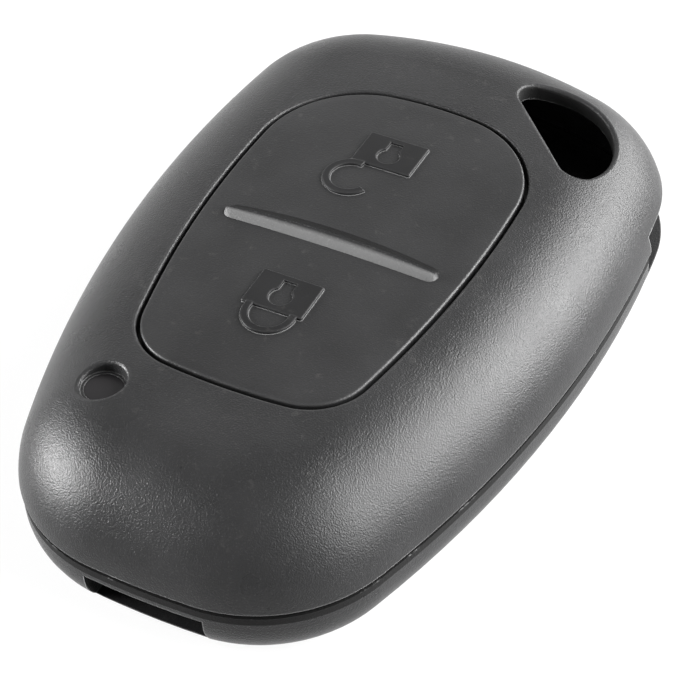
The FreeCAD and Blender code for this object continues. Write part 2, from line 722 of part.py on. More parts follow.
def pad_piece(name, y_low, y_high, flange_top):
    """A stretch of the button pad between two lines across the fob, with its flange under the roof."""
    body = new_body(name)
    s = outline(body, name + "_outline", "pad", ("pad_clearance",), PLATE_LOW)
    pad(body, name + "_plate", s, "roof_thick + flange_gap + flange_thick + cut_over")
    last = crown_groove(body, name + "_crown")
    skirt = outline(body, name + "_skirt", "pad", ("-flange_width",), PLATE_LOW)
    last = pad(body, name + "_flange", skirt, f"{flange_top} - {PLATE_LOW}")
    last = round_edges(body, name + "_rim", last, lambda p, b: on_crown(p), "pad_rim_round")
    for side, low, high in (("near", "- case_length / 2", y_low), ("far", y_high, "case_length / 2")):
        trim = rectangle(body, f"{name}_{side}_line", "- case_half_width", "case_half_width", low, high, "0")
        pocket(body, f"{name}_{side}_trim", trim, "top_z + cut_over")
    return body


def crown_block(name, lift):
    """Everything up to a given height over the crowned top, for trimming raised details."""
    body = new_body(name)
    s = rectangle(body, name + "_base", "- case_half_width", "case_half_width",
                  "- case_length / 2", "case_length / 2", ROOF)
    pad(body, name + "_slab", s, "roof_thick + 2 * cut_over")
    crown_groove(body, name + "_crown", lift)
    return body


def padlock(name, y, is_open, trim):
    """Raised padlock: a block with a keyhole and a shackle towards the near end."""
    high = "roof_thick + cut_over"
    low = ROOF
    block = box(name + "_block", "symbol_x", y, low, "symbol_width", "symbol_depth", high)
    hole = fuse(name + "_keyhole",
                cylinder(name + "_keyhole_round", "symbol_x", f"{y} - keyhole_shift", low,
                         "keyhole_radius", high),
                box(name + "_keyhole_slot", "symbol_x", f"{y} - keyhole_shift + keyhole_length / 2", low,
                    "keyhole_slot", "keyhole_length + keyhole_radius / 2", high))
    x, centre_y = "symbol_x", f"{y} - symbol_depth / 2 - shackle_leg"
    if is_open:
        x, centre_y = "symbol_x - symbol_width / 2 + shackle_shift", f"{y} - symbol_depth / 2 - shackle_drop"
    outer = cylinder(name + "_shackle_outer", x, centre_y, low, "shackle_radius", high)
    if is_open:
        tie(outer, "Angle", "shackle_open_sweep")
        outer.Placement.Rotation = FreeCAD.Rotation(FreeCAD.Vector(0, 0, 1), size("shackle_open_start"))
    inner = cylinder(name + "_shackle_inner", x, centre_y, low, "shackle_radius - shackle_thick", high)
    solids = [block, cut(name + "_shackle", outer, inner)]
    return common(name + "_trimmed", cut(name + "_cut", fuse(name + "_solid", *solids), hole), trim)


def buttons():
    """Both halves of the pad, each with its symbol and the post that presses its switch."""
    trim = crown_block("symbol_limit", "symbol_height")
    flange_top = f"{ROOF} - flange_gap"
    halves = (("unlock_button", f"{UNLOCK_HINGE} + hinge_gap / 2", "case_length / 2 - cut_over",
               "unlock_symbol_y", UNLOCK_POST, True),
              ("lock_button", "cut_over - case_length / 2", f"{LOCK_HINGE} - hinge_gap / 2",
               "lock_symbol_y", LOCK_POST, False))
    for name, low, high, symbol_y, post_y, is_open in halves:
        plate = pad_piece(name + "_body", low, high, flange_top)
        post_low = f"{PLUNGER_TOP} + post_gap"
        post = cylinder(name + "_post", "0", post_y, post_low, "post_radius", f"{ROOF} - ({post_low})")
        node(name, fuse(name, plate, post, padlock(name + "_padlock", symbol_y, is_open, trim)))


def pad_bridge():
    """Fixed strip between the buttons, held under the roof by its ends, with the raised bar on top."""
    base = pad_piece("bridge_body", "bridge_y - bridge_width / 2", "bridge_y + bridge_width / 2", ROOF)
    bar = new_body("bar_body")
    s = sketch_on(bar, "bar_outline", height=ROOF)
    end = (size("bar_width") - size("bar_bow")) / 2
    reach = size("bar_length") / 2 - end
    rise = size("bar_width") - end
    far = (reach ** 2 + rise ** 2 - end ** 2) / (2 * (rise - end))
    near_y = size("bridge_y") - size("bar_width") / 2
    swing = atan2(near_y + end - (near_y + size("bar_width") - far), reach)
    up = FreeCAD.Vector(0, 0, 1)

    def arc(x, y, radius, start, stop):
        return Part.ArcOfCircle(Part.Circle(FreeCAD.Vector(x, y, 0), up, radius), start, stop)

    s.addGeometry(Part.LineSegment(FreeCAD.Vector(-reach, near_y, 0), FreeCAD.Vector(reach, near_y, 0)), False)
    s.addGeometry(arc(reach, near_y + end, end, -pi / 2, swing), False)
    s.addGeometry(arc(0, near_y + size("bar_width") - far, far, swing, pi - swing), False)
    s.addGeometry(arc(-reach, near_y + end, end, pi - swing, 3 * pi / 2), False)
    for i in range(4):
        constrain(s, "Tangent", i, 2, (i + 1) % 4, 1)
    constrain(s, "Horizontal", 0)
    constrain(s, "Equal", 1, 3)
    constrain(s, "Radius", 1, end, text="(bar_width - bar_bow) / 2")
    constrain(s, "DistanceX", -1, 1, 1, 3, reach, text="(bar_length - bar_width + bar_bow) / 2")
    constrain(s, "DistanceX", -1, 1, 3, 3, -reach, text="- (bar_length - bar_width + bar_bow) / 2")
    constrain(s, "DistanceY", -1, 1, 0, 1, near_y, text="bridge_y - bar_width / 2")
    pad(bar, "bar_block", s, "roof_thick + 2 * cut_over")
    crown = crown_groove(bar, "bar_crown", "bar_height")
    round_edges(bar, "bar_round", crown,
                lambda p, b: p.z > crown_height(p.x, p.y) + size("bar_height") / 2, "bar_round")
    return node("pad_bridge", fuse("pad_bridge", base, bar))


def lens():
    low = f"{BOARD_TOP} + solder + indicator_height + lens_gap"
    return node("led_lens", cylinder("led_lens", LENS_X, LENS_Y, low, "lens_radius", f"{LENS_TOP} - ({low})"))


def circuit_board():
    blank = case_slice("board_blank", ("board_inset",), BOARD_LOW, "board_thick")
    holes = [cylinder(f"board_hole_{name}", x, y, f"{BOARD_LOW} - cut_over", "peg_radius + board_hole_gap",
                      "board_thick + 2 * cut_over") for name, x, y in PEGS]
    corner = corner_box("board_corner", f"{RING_SIDE} - case_length", f"{RING_SIDE} + case_length",
                        f"{RING_FACE} - ring_wall - board_ring_gap", f"{RING_OUT} + case_length / 2",
                        f"{BOARD_LOW} - cut_over", f"{BOARD_TOP} + cut_over")
    return node("circuit_board", cut("circuit_board", blank, fuse("board_cuts", corner, *holes)))


def switch(name, y):
    """Tactile switch: base, steel cover, plunger and the snap dome under it."""
    cover_low = f"{SWITCH_TOP} - switch_cover_thick"
    bore = cylinder(f"{name}_bore", "0", y, SWITCH_WELL, "plunger_radius + plunger_fit",
                    f"{PLUNGER_TOP} - {SWITCH_WELL}")
    base = box(f"{name}_switch_block", "0", y, BOARD_TOP, "switch_width", "switch_width",
               f"{cover_low} - {BOARD_TOP}")
    cover = box(f"{name}_cover_plate", "0", y, cover_low, "switch_width", "switch_width", "switch_cover_thick")
    node(f"{name}_switch", cut(f"{name}_switch", base, bore))
    node(f"{name}_switch_cover", cut(f"{name}_switch_cover", cover, bore))
    node(f"{name}_plunger", cylinder(f"{name}_plunger", "0", y, PLUNGER_LOW, "plunger_radius",
                                     f"{PLUNGER_TOP} - {PLUNGER_LOW}"))
    dome = doc.addObject("Part::Cone", f"{name}_dome")
    tie(dome, "Radius1", "plunger_radius")
    tie(dome, "Radius2", "dome_top_radius")
    tie(dome, "Height", "dome_thick + dome_rise")
    node(f"{name}_dome", place(dome, "0", y, SWITCH_WELL))


def coin_cell():
    can = cylinder("cell_can", "cell_x", CELL_Y, "floor_thick", "cell_radius", "cell_thick - cell_rim")
    cap = cylinder("cell_cap", "cell_x", CELL_Y, "floor_thick + cell_thick - cell_rim",
                   "cell_radius - cap_inset", "cell_rim")
    return node("coin_cell", fuse("coin_cell", can, cap))


def contacts():
    """Leaf on the cell's cap and blade on its rim, both soldered under the board."""
    low, high = "floor_thick + cell_thick", f"{BOARD_LOW} - contact_thick"
    tip = f"{CELL_Y} - contact_slope"
    start, bend = f"{tip} + contact_foot", f"{tip} + contact_foot + contact_slope"
    back = f"{bend} + contact_foot"
    under = [(tip, low), (start, low), (bend, high), (back, high)]
    over = [(y, f"{z} + contact_thick") for y, z in reversed(under)]
    leaf = new_body("negative_leaf")
    pad(leaf, "negative_strip", polygon(leaf, "negative_profile", under + over, "cell_x - contact_width / 2",
                                        "YZ_Plane"), "contact_width")
    node("negative_contact", leaf)
    rim_x = "cell_x + cell_radius + contact_thick / 2"
    blade_z = "floor_thick + contact_thick"
    blade = box("positive_blade", rim_x, CELL_Y, blade_z, "contact_thick", "contact_width",
                f"{BOARD_LOW} - ({blade_z})")
    foot = box("positive_foot", f"{rim_x} + contact_foot / 2", CELL_Y, high,
               "contact_foot + contact_thick", "contact_width", "contact_thick")
    node("positive_contact", fuse("positive_contact", blade, foot))


def leaded_chip(name, x, y):
    """Chip with a row of bent leads along each long side."""
    body = box(f"{name}_body", x, y, f"{BOARD_TOP} + lead_stand", "controller_width", "controller_depth",
               "controller_height")
    leads = []
    for side, sign in (("near", "-"), ("far", "+")):
        for i in range(LEAD_COUNT):
            lead_x = f"{x} + controller_width * ({i} + 0.5 - {LEAD_COUNT} / 2) / {LEAD_COUNT}"
            lead_y = f"{y} {sign} (controller_depth + lead_reach) / 2"
            leads.append(box(f"{name}_lead_{side}_{i}", lead_x, lead_y, BOARD_TOP, "lead_width",
                             "lead_reach", "lead_stand + controller_height / 3"))
    return fuse(name, body, *leads)


def board_parts():
    """Controller, transmitter, crystal, resonator, indicator, antenna coil and the small chip parts."""
    node("controller_chip", leaded_chip("controller_chip", "0", "controller_y"))
    node("transmitter_chip", box("transmitter_chip", f"- {ROW_X}", "controller_y", BOARD_TOP,
                                 "transmitter_width", "transmitter_width", "transmitter_height"))
    straight = "crystal_length - crystal_width"
    node("crystal", fuse("crystal",
                         box("crystal_middle", ROW_X, "controller_y", BOARD_TOP, "crystal_width", straight,
                             "crystal_height"),
                         *[cylinder(f"crystal_end_{side}", ROW_X, f"controller_y {sign} ({straight}) / 2",
                                    BOARD_TOP, "crystal_width / 2", "crystal_height")
                           for side, sign in (("near", "-"), ("far", "+"))]))
    node("resonator", fuse("resonator",
                           box("resonator_base", ROW_X, "resonator_y", BOARD_TOP, "resonator_width",
                               "resonator_width", "resonator_height / 2"),
                           box("resonator_lid", ROW_X, "resonator_y", BOARD_TOP,
                               "resonator_width - 2 * lid_inset", "resonator_width - 2 * lid_inset",
                               "resonator_height")))
    node("status_led", fuse("status_led",
                            box("status_led_base", LENS_X, LENS_Y, BOARD_TOP, "indicator_width",
                                "indicator_depth", "indicator_height / 2"),
                            cylinder("status_led_cap", LENS_X, LENS_Y, BOARD_TOP, "indicator_cap_radius",
                                     "indicator_height")))
    flange = "(ferrite_length - winding_length) / 2"
    bobbin = box("ferrite_bar", "coil_x", COIL_Y, f"{BOARD_TOP} + winding_thick", "ferrite_length",
                 "ferrite_width - 2 * winding_thick", "ferrite_height - 2 * winding_thick")
    ends = [box(f"ferrite_end_{side}", f"coil_x {sign} (winding_length + {flange}) / 2", COIL_Y, BOARD_TOP,
                flange, "ferrite_width", "ferrite_height") for side, sign in (("left", "-"), ("right", "+"))]
    node("ferrite_core", fuse("ferrite_core", bobbin, *ends))
    inside = box("winding_inside", "coil_x", COIL_Y, f"{BOARD_TOP} + winding_thick", "winding_length",
                 "ferrite_width - 2 * winding_thick", "ferrite_height - 2 * winding_thick")
    outside = box("winding_outside", "coil_x", COIL_Y, f"{BOARD_TOP} + solder", "winding_length",
                  "ferrite_width - 2 * solder", "ferrite_height - 2 * solder")
    node("antenna_winding", cut("antenna_winding", outside, inside))
    for name, x, count in (("capacitors", f"- {COLUMN_X}", CAPACITOR_COUNT),
                           ("resistors", COLUMN_X, RESISTOR_COUNT)):
        group = doc.addObject("Part::Compound", name)
        group.Links = [box(f"{name}_{i}", x, f"column_y + column_pitch * {i}", BOARD_TOP, "chip_part_length",
                           "chip_part_width", "chip_part_height") for i in range(count)]
        node(name, group)


def transponder():
    return node("transponder_chip", box("transponder_chip", "transponder_x", TRANSPONDER_Y, "floor_thick",
                                        "transponder_length", "transponder_width", "transponder_height"))


def check_document():
    """Stops if any object failed, or any piece is missing, empty or not valid."""
    for thing in doc.Objects:
        if any(state in ("Invalid", "Error") for state in thing.State):
            raise RuntimeError(f"{thing.Name} failed: {thing.State}")
    for label, thing in NODES.items():
        if thing.Shape.isNull() or not thing.Shape.isValid() or not thing.Shape.Solids:
            raise RuntimeError(f"{label} has no valid solid")


upper_shell()
lower_shell()
buttons()
pad_bridge()
lens()
circuit_board()
switch("unlock", UNLOCK_POST)
switch("lock", LOCK_POST)
coin_cell()
contacts()
board_parts()
transponder()
doc.recompute()
check_document()

os.makedirs("parts", exist_ok=True)
for label, thing in NODES.items():
    thing.Shape.exportStep(f"parts/{label}.step")
    print(f"{label}: {len(thing.Shape.Solids)} solid(s), {thing.Shape.Volume:.1f} mm3")
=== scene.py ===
"""Dresses a packed two-button car key fob: finishes, button pad, electronics, light and camera.

The frame is in metres: +Z out of the buttons, +Y to the key ring end, the flat back on z = 0.
"""

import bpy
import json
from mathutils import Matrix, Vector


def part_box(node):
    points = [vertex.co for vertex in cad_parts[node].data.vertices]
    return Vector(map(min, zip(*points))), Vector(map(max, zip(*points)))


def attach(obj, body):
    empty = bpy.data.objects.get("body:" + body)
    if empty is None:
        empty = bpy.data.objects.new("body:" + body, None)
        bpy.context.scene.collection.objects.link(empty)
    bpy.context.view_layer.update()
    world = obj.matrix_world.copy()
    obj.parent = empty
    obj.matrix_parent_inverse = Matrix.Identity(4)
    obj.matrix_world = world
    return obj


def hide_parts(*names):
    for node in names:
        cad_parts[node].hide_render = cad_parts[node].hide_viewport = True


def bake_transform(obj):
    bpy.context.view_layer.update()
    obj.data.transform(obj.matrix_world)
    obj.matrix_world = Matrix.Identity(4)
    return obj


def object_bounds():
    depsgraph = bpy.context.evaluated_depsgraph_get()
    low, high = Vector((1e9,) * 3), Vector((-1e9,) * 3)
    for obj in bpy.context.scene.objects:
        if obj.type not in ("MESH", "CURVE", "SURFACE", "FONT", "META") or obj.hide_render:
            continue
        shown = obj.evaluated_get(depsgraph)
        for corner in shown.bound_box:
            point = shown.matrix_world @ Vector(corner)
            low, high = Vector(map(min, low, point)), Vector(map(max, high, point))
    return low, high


bl_info = {
    "name": "Car Key Fob",
    "version": (1, 0, 0),
    "blender": (4, 5, 0),
    "location": "View3D > Sidebar > Key Fob",
    "description": "Builds the button pad, electronics and finishes of a car key fob round its packed model",
    "category": "Object",
}

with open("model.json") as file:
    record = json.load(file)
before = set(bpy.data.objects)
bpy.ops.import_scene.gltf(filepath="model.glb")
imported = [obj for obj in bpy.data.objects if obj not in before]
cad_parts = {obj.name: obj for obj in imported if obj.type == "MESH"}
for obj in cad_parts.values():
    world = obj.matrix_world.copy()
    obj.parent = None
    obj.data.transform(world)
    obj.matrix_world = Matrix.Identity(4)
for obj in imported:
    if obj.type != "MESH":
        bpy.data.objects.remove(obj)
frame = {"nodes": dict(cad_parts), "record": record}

import json
import math

import bmesh
import bpy
from bpy.props import FloatProperty, FloatVectorProperty, IntProperty, PointerProperty
from mathutils import Matrix, Vector

MM = 0.001
CAD_LOW, CAD_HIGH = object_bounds()
NODES = frame["nodes"]
BODY_OF = {name: body for body, names in frame["record"]["behaviour"]["bodies"].items() for name in names}
BOARD_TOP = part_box("circuit_board")[1].z
PHOTO_SIDE = 680
SENSOR = 36.0
SOFTBOX_DISTANCE = 0.45
SOFTBOX_SIZE = 0.22
FLOOR_RADIUS = 1.2
FLOOR_GAP = 0.05 * MM
FLOOR_TONES = ((0.85, 0.85, 0.85), (0.87, 0.87, 0.87))
FLOOR_WHITE = 0.88
WHITE = (1.0, 1.0, 1.0)
# Near-black colours of painted shade: the first on the bore's walls and on faces towards the far end, the
# second in the seam
SHADE = (0.002, 0.002, 0.002)
PAINTED_SEAM_SHADE = (0.003, 0.003, 0.003)
LINT = (0.34, 0.33, 0.31)
PALE_SPECK = (0.5, 0.5, 0.5)
ROUGH_HOLLOW = (0.92, 0.92, 0.92)
ROUGH_WORN = (0.28, 0.28, 0.28)
CUT_TOLERANCE = 1e-7
LEAST_CORNER = 0.02 * MM
SMALL_CORNER = 0.6 * MM
SMALL_CORNER_STEPS = 5
CORNER_STEPS = 14
PAD_EDGE = 0.02 * MM

# Softboxes: degrees round the fob from +X and over the floor, the power that feeds it and its share of that
SOFTBOXES = {
    "low_softbox_near": (6, 12, "low_power", 0.26),
    "low_softbox": (36, 12, "low_power", 0.5),
    "low_softbox_far": (68, 10, "low_power", 0.2),
    "high_softbox_near": (4, 36, "high_power", 0.4),
    "high_softbox_far": (42, 36, "high_power", 0.6),
    "front_softbox": (-20, 42, "front_power", 1.0),
    "near_softbox": (204, 13, "near_power", 1.0),
    "fill_softbox": (225, 38, "fill_power", 1.0),
    "rim_softbox": (138, 8, "rim_power", 1.0),
}

# Edges of small parts in millimetres: insets with heights over the bottom, then with depths under the top
PROFILES = {
    "fillet": (((-0.13, 0.0), (-0.05, 0.1), (0.0, 0.3)), ()),
    "switch_base": (((0.1, 0.0), (0.0, 0.1)), ((0.0, 0.1), (0.05, 0.0))),
    "plunger": (((0.1, 0.0), (0.0, 0.1)), ((0.0, 0.18), (0.05, 0.06), (0.2, 0.0))),
    "cell_can": (((0.3, 0.0), (0.08, 0.08), (0.0, 0.3)),
                 ((0.0, 0.35), (0.1, 0.16), (0.35, 0.1), (1.05, 0.1))),
    "cell_seal": ((), ((1.35, 0.25), (1.0, 0.2), (1.05, 0.04), (1.25, 0.05))),
    "cell_cap": ((), ((1.25, 0.25), (1.25, 0.08), (1.5, 0.0))),
    "transmitter": (((0.02, 0.04),), ((0.02, 0.05), (0.07, 0.0))),
    "crystal": (((0.05, 0.0), (0.0, 0.05), (0.0, 0.22), (0.28, 0.28)),
                ((0.32, 0.3), (0.38, 0.12), (0.52, 0.03), (0.7, 0.0))),
    "resonator_lid": (((0.3, -0.02),), ((0.3, 0.15), (0.42, 0.02), (0.6, 0.0))),
    "controller": (((0.12, 0.15),), ((0.1, 0.06), (0.17, 0.0))),
    "pin_mark": ((), ((0.0, 0.05), (0.02, -0.004))),
    "test_pad": (((0.0, 0.0),), ((0.03, 0.0),)),
    "transponder": (((0.25, 0.0), (0.0, 0.25)), ((0.0, 0.3), (0.12, 0.08), (0.35, 0.0))),
}

# Rows of plated rings: start across and along and step in millimetres, count and seed
VIA_ROWS = ((5.3, -15.6, 1.3, 7, 11), (-5.4, -15.6, 1.3, 7, 12), (8.9, 8.0, 1.5, 5, 13),
            (-8.8, 5.2, 1.5, 6, 14))

# Track from each small capacitor, in millimetres from its end
CAPACITOR_TRACK = ((0.0, 0.0), (1.1, 0.0), (1.7, -0.6), (2.9, -0.6))

# Plain stuffs: colour, roughness, grains per metre, depth of the grain and share of pale specks
CASTS = {
    "switch_plastic": ((0.022, 0.022, 0.024), 0.45, 4000.0, 0.00001, 0.05),
    "plunger_plastic": ((0.52, 0.48, 0.39), 0.4, 3500.0, 0.000005, 0.0),
    "chip_epoxy": ((0.028, 0.028, 0.030), 0.55, 5200.0, 0.00002, 0.05),
    "ceramic_tan": ((0.43, 0.32, 0.19), 0.35, 3000.0, 0.000006, 0.05),
    "ceramic_black": ((0.03, 0.03, 0.032), 0.3, 3000.0, 0.000006, 0.05),
    "ceramic_cream": ((0.56, 0.52, 0.42), 0.4, 3000.0, 0.000006, 0.0),
    "ferrite": ((0.055, 0.052, 0.05), 0.5, 4200.0, 0.00002, 0.05),
    "led_body": ((0.72, 0.70, 0.64), 0.4, 3000.0, 0.000004, 0.0),
    "led_cap": ((0.75, 0.42, 0.30), 0.15, 2000.0, 0.000002, 0.0),
}


def length(name, description, millimetres):
    """A length property, shown in Blender's own unit and given here in millimetres."""
    return FloatProperty(name=name, description=description, default=millimetres * MM, unit="LENGTH",
                         precision=5)


def tone(name, description, colour):
    return FloatVectorProperty(name=name, description=description, default=colour, size=3, min=0.0, max=1.0,
                               subtype="COLOR")


def turn(name, description, degrees):
    return FloatProperty(name=name, description=description, default=math.radians(degrees), subtype="ANGLE")


def power(name, description, watts):
    return FloatProperty(name=name, description=description, default=watts, unit="POWER")


def number(name, description, default, least=1):
    return IntProperty(name=name, description=description, default=default, min=least)


class FobPadSizes(bpy.types.PropertyGroup):
    """Outline, in the middle of its gap, and details of the button pad."""
    near_y: length("Near end", "Distance of the near end from the middle of the fob", 17.7)
    far_y: length("Far end", "Distance of the far end from the middle of the fob", 17.35)
    half_width: length("Half width", "Half of the width at the widest place", 11.25)
    widest_y: length("Widest place", "Where along the fob the pad is widest", 4.8)
    side_radius: length("Side radius", "Radius of the long sides", 87.0)
    near_radius: length("Near end radius", "Radius of the near end", 40.8)
    far_radius: length("Far end radius", "Radius of the far end", 32.6)
    near_corner: length("Near corners", "Radius of the near corners", 5.1)
    far_corner: length("Far corners", "Radius of the far corners", 8.5)
    clearance: length("Clearance", "From the middle of the gap to the edge of the pad", 0.15)
    rim_round: length("Rim rounding", "Radius of the rounded upper edge", 0.22)
    flange: length("Flange", "How far the flange reaches out under the case", 0.9)
    flange_thick: length("Flange thickness", "Thickness of the flange", 0.7)
    flange_gap: length("Flange gap", "Play between the flange and the case above it", 0.1)
    crown_across: length("Crown across", "Radius of the crowned top across the fob", 171.0)
    crown_along: length("Crown along", "Radius of the crowned top along the fob", 497.0)
    crown_top: length("Crown height", "Height of the top in the middle of the fob", 14.55)
    roof: length("Roof height", "Height of the underside of the case roof", 12.6)
    post_radius: length("Post radius", "Radius of the posts that press the switches", 1.5)


class FobSymbolSizes(bpy.types.PropertyGroup):
    """Padlocks raised on the pad."""
    x: length("Across", "Place of both symbols across the fob", -0.4)
    lock_y: length("Closed padlock", "Place of the closed padlock's body along the fob", -7.8)
    unlock_y: length("Open padlock", "Place of the open padlock's body along the fob", 10.05)
    width: length("Width", "Width of the padlock's body", 5.1)
    depth: length("Depth", "Size of the padlock's body along the fob", 3.75)
    height: length("Height", "How far the symbol stands out of the pad", 0.21)
    bevel: length("Bevel", "Width of the bevel along its edges", 0.1)
    corner: length("Corner", "Radius of the body's corners", 0.16)
    shackle_radius: length("Shackle radius", "Outer radius of the shackle", 2.15)
    shackle_thick: length("Shackle width", "Width of the shackle's bar", 0.62)
    shackle_leg: length("Shackle leg", "Straight length of the closed shackle outside the body", 0.3)
    shackle_shift: length("Open shackle shift", "Open shackle's middle, in from the body's left edge", 0.9)
    shackle_drop: length("Open shackle drop", "Open shackle's middle, out from the body's edge", 1.95)
    keyhole_radius: length("Keyhole radius", "Radius of the keyhole's round part", 0.92)
    keyhole_shift: length("Keyhole shift", "From the body's middle to the keyhole's, to the shackle", 0.35)
    keyhole_slot: length("Keyhole slot", "Width of the keyhole's slot", 1.1)
    keyhole_length: length("Keyhole length", "Reach of the slot from the keyhole's middle", 1.66)


class FobBarSizes(bpy.types.PropertyGroup):
    """Raised bar between the buttons."""
    length: length("Length", "Length of the bar across the fob", 18.3)
    width: length("Width", "Width in the middle", 2.35)
    bow: length("Bow", "How much narrower the bar is at its ends", 0.7)
    near: length("Near edge", "Straight near edge, from the middle of the fob", -1.78)
    height: length("Height", "How far the bar stands out of the pad", 0.5)
    ridge: FloatProperty(name="Ridge", description="Place of the ridge across the bar, from -1 near to 1 far",
                         default=-0.1, min=-0.9, max=0.9)
    steps: number("Steps", "Stations along the bar", 120, 8)
    around: number("Around", "Points round the section", 64, 8)


class FobBoardSizes(bpy.types.PropertyGroup):
    """Details on the circuit board."""
    lead_count: number("Leads", "Leads along each side of the controller", 6)
    lead_reach: length("Lead reach", "How far the controller's leads reach out", 0.7)
    lead_width: length("Lead width", "Width of the controller's leads", 0.4)
    lead_thick: length("Lead thickness", "Thickness of leads and legs", 0.14)
    capacitor_count: number("Capacitors", "Small capacitors in their row", 6)
    resistor_count: number("Resistors", "Small resistors in their row", 5)
    coil_turns: number("Coil turns", "Turns of wire on the antenna coil", 27)
    wire: length("Wire", "Diameter of the antenna wire", 0.22)
    core_inset: length("Core inset", "How far the middle of the ferrite core lies under its ends", 0.42)
    track: length("Track width", "Width of the copper tracks", 0.24)
    copper: length("Copper", "Thickness of tracks and pads over the board", 0.03)
    via: length("Via", "Radius of the plated rings", 0.36)
    via_hole: length("Via hole", "Radius of the hole in a plated ring", 0.18)
    edge: length("Broken edge", "Size of the small chamfers on chips", 0.06)
    leg_reach: length("Leg reach", "How far the legs of a switch reach out", 0.85)
    stake: length("Stake", "Radius of the heat stakes on a switch cover", 0.36)
    play: length("Play", "How far placed parts lie off their even row", 0.05)


class FobFinish(bpy.types.PropertyGroup):
    """Colours and grain of the finishes."""
    case: tone("Case", "Moulded plastic of the two case halves", (0.013, 0.013, 0.0134))
    pad: tone("Pad", "Moulded plastic of the buttons", (0.013, 0.013, 0.0134))
    # The pale colour of rubbed edges also serves as painted highlight along rims and painted light on faces
    # towards the near end
    pale_wear_and_light: tone("Worn edge", "Plastic where edges are rubbed pale", (0.27, 0.27, 0.27))
    mask: tone("Solder mask", "Lacquer on the circuit board", (0.012, 0.085, 0.035))
    gold: tone("Gold", "Plated pads and vias", (0.78, 0.55, 0.22))
    steel: tone("Steel", "Stamped and plated steel", (0.62, 0.62, 0.63))
    bar: tone("Bar", "Moulded plastic of the bar between the buttons", (0.013, 0.013, 0.0134))
    gloss: FloatProperty(name="Gloss", description="Specular level of the moulded plastic", default=0.2,
                         min=0.0)
    # Seam, seam rise and bore place painted shade: a near-black band along the seam and on the walls of the
    # key ring's bore
    seam: length("Seam", "Height of the dark seam between the halves", 0.85)
    seam_rise: length("Seam rise", "How far the dark seam reaches over the parting", 0.1)
    bore: length("Bore", "Radius of the dark bore for the key ring", 6.3)
    grain: length("Grain", "Size of the grain moulded into the case", 0.12)


class FobStudio(bpy.types.PropertyGroup):
    """Camera and light."""
    azimuth: turn("Azimuth", "Direction of the camera round the fob", 29.0)
    elevation: turn("Elevation", "Height of the camera over the horizon", 44.17)
    roll: turn("Roll", "Turn of the camera about its own axis", -2.37)
    distance: length("Distance", "Distance of the camera from the origin of the fob", 199.32)
    shift_right: length("Shift right", "How far the camera stands to the right", -0.12)
    shift_up: length("Shift up", "How far the camera stands up in the picture", 2.256)
    pixels: FloatProperty(name="Pixels per millimetre", description="Scale of the photograph at the origin",
                          default=12.4735)
    high_power: power("High softboxes", "Power of the high softboxes on the right", 4.8)
    low_power: power("Low softboxes", "Power of the low softboxes on the right", 7.8)
    near_power: power("Near softbox", "Power of the low softbox at the near left", 7.0)
    fill_power: power("Fill", "Power of the softbox over the near end", 0.12)
    front_power: power("Front softbox", "Power of the softbox at the near right", 0.12)
    rim_power: power("Rim softbox", "Power of the low softbox at the far left", 0.06)
    ambient: FloatProperty(name="Ambient", description="Brightness of the room round the fob", default=0.2)


def crown(x, y):
    """Height of the crowned top at a place in plan."""
    pad = bpy.context.scene.fob_pad
    along = pad.crown_along - math.sqrt(pad.crown_along ** 2 - y * y)
    return pad.crown_top - along - pad.crown_across + math.sqrt(pad.crown_across ** 2 - x * x)


def new_object(name, mesh):
    obj = bpy.data.objects.new(name, mesh)
    bpy.context.scene.collection.objects.link(obj)
    return obj


def smooth(mesh, sharp=35.0):
    """Shades a mesh smooth, but for edges over an angle."""
    for polygon in mesh.polygons:
        polygon.use_smooth = True
    mesh.set_sharp_from_angle(angle=math.radians(sharp))


def mesh_from(bm, name):
    """Closes a bmesh into a smooth-shaded mesh."""
    bmesh.ops.recalc_face_normals(bm, faces=bm.faces)
    mesh = bpy.data.meshes.new(name)
    bm.to_mesh(mesh)
    bm.free()
    smooth(mesh)
    return mesh


def settle(obj, node, slot, *replaced):
    """Rides a piece on the body of a node and hides the nodes that it stands for; the slot is not used."""
    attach(obj, BODY_OF[node])
    if replaced:
        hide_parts(*replaced)


def paint(obj, *materials):
    """Fills the material list place by place: clearing it first would send every face to its first place."""
    places = obj.data.materials
    while len(places) > len(materials):
        places.pop()
    while len(places) < len(materials):
        places.append(None)
    for i, made in enumerate(materials):
        places[i] = made


def paint_nodes(finish, *names):
    for name in names:
        paint(NODES[name], material(finish))


# Nodes

class Output:
    """Output of a node. Plain arithmetic on it adds math nodes to its tree."""

    def __init__(self, socket):
        self.socket = socket
        self.tree = socket.id_data

    def __add__(self, other):
        return calc("ADD", self, other)

    def __sub__(self, other):
        return calc("SUBTRACT", self, other)

    def __rsub__(self, other):
        return calc("SUBTRACT", other, self)

    def __mul__(self, other):
        return calc("MULTIPLY", self, other)

    def __truediv__(self, other):
        return calc("DIVIDE", self, other)

    def __pow__(self, other):
        return calc("POWER", self, other)

    def __gt__(self, other):
        return calc("GREATER_THAN", self, other)

    def __lt__(self, other):
        return calc("LESS_THAN", self, other)

    def __abs__(self):
        return calc("ABSOLUTE", self)


class Outputs:
    """Outputs of a node by name or place."""

    def __init__(self, node):
        self.node = node

    def __getitem__(self, key):
        return Output(self.node.outputs[key])


def feed(value, socket):
    """Links an output to an input, or sets the input's own value; three numbers make an opaque colour."""
    if isinstance(value, Output):
        value.tree.links.new(value.socket, socket)
    elif socket.type == "RGBA":
        socket.default_value = (*value, 1.0)
    else:
        socket.default_value = value


def put(tree, kind, values=None, **settings):
    """Adds a node, feeds its inputs by name or place, and gives its outputs."""
    node = tree.nodes.new(kind)
    for key, value in settings.items():
        setattr(node, key, value)
    for key, value in (values or {}).items():
        feed(value, node.inputs[key])
    return Outputs(node)


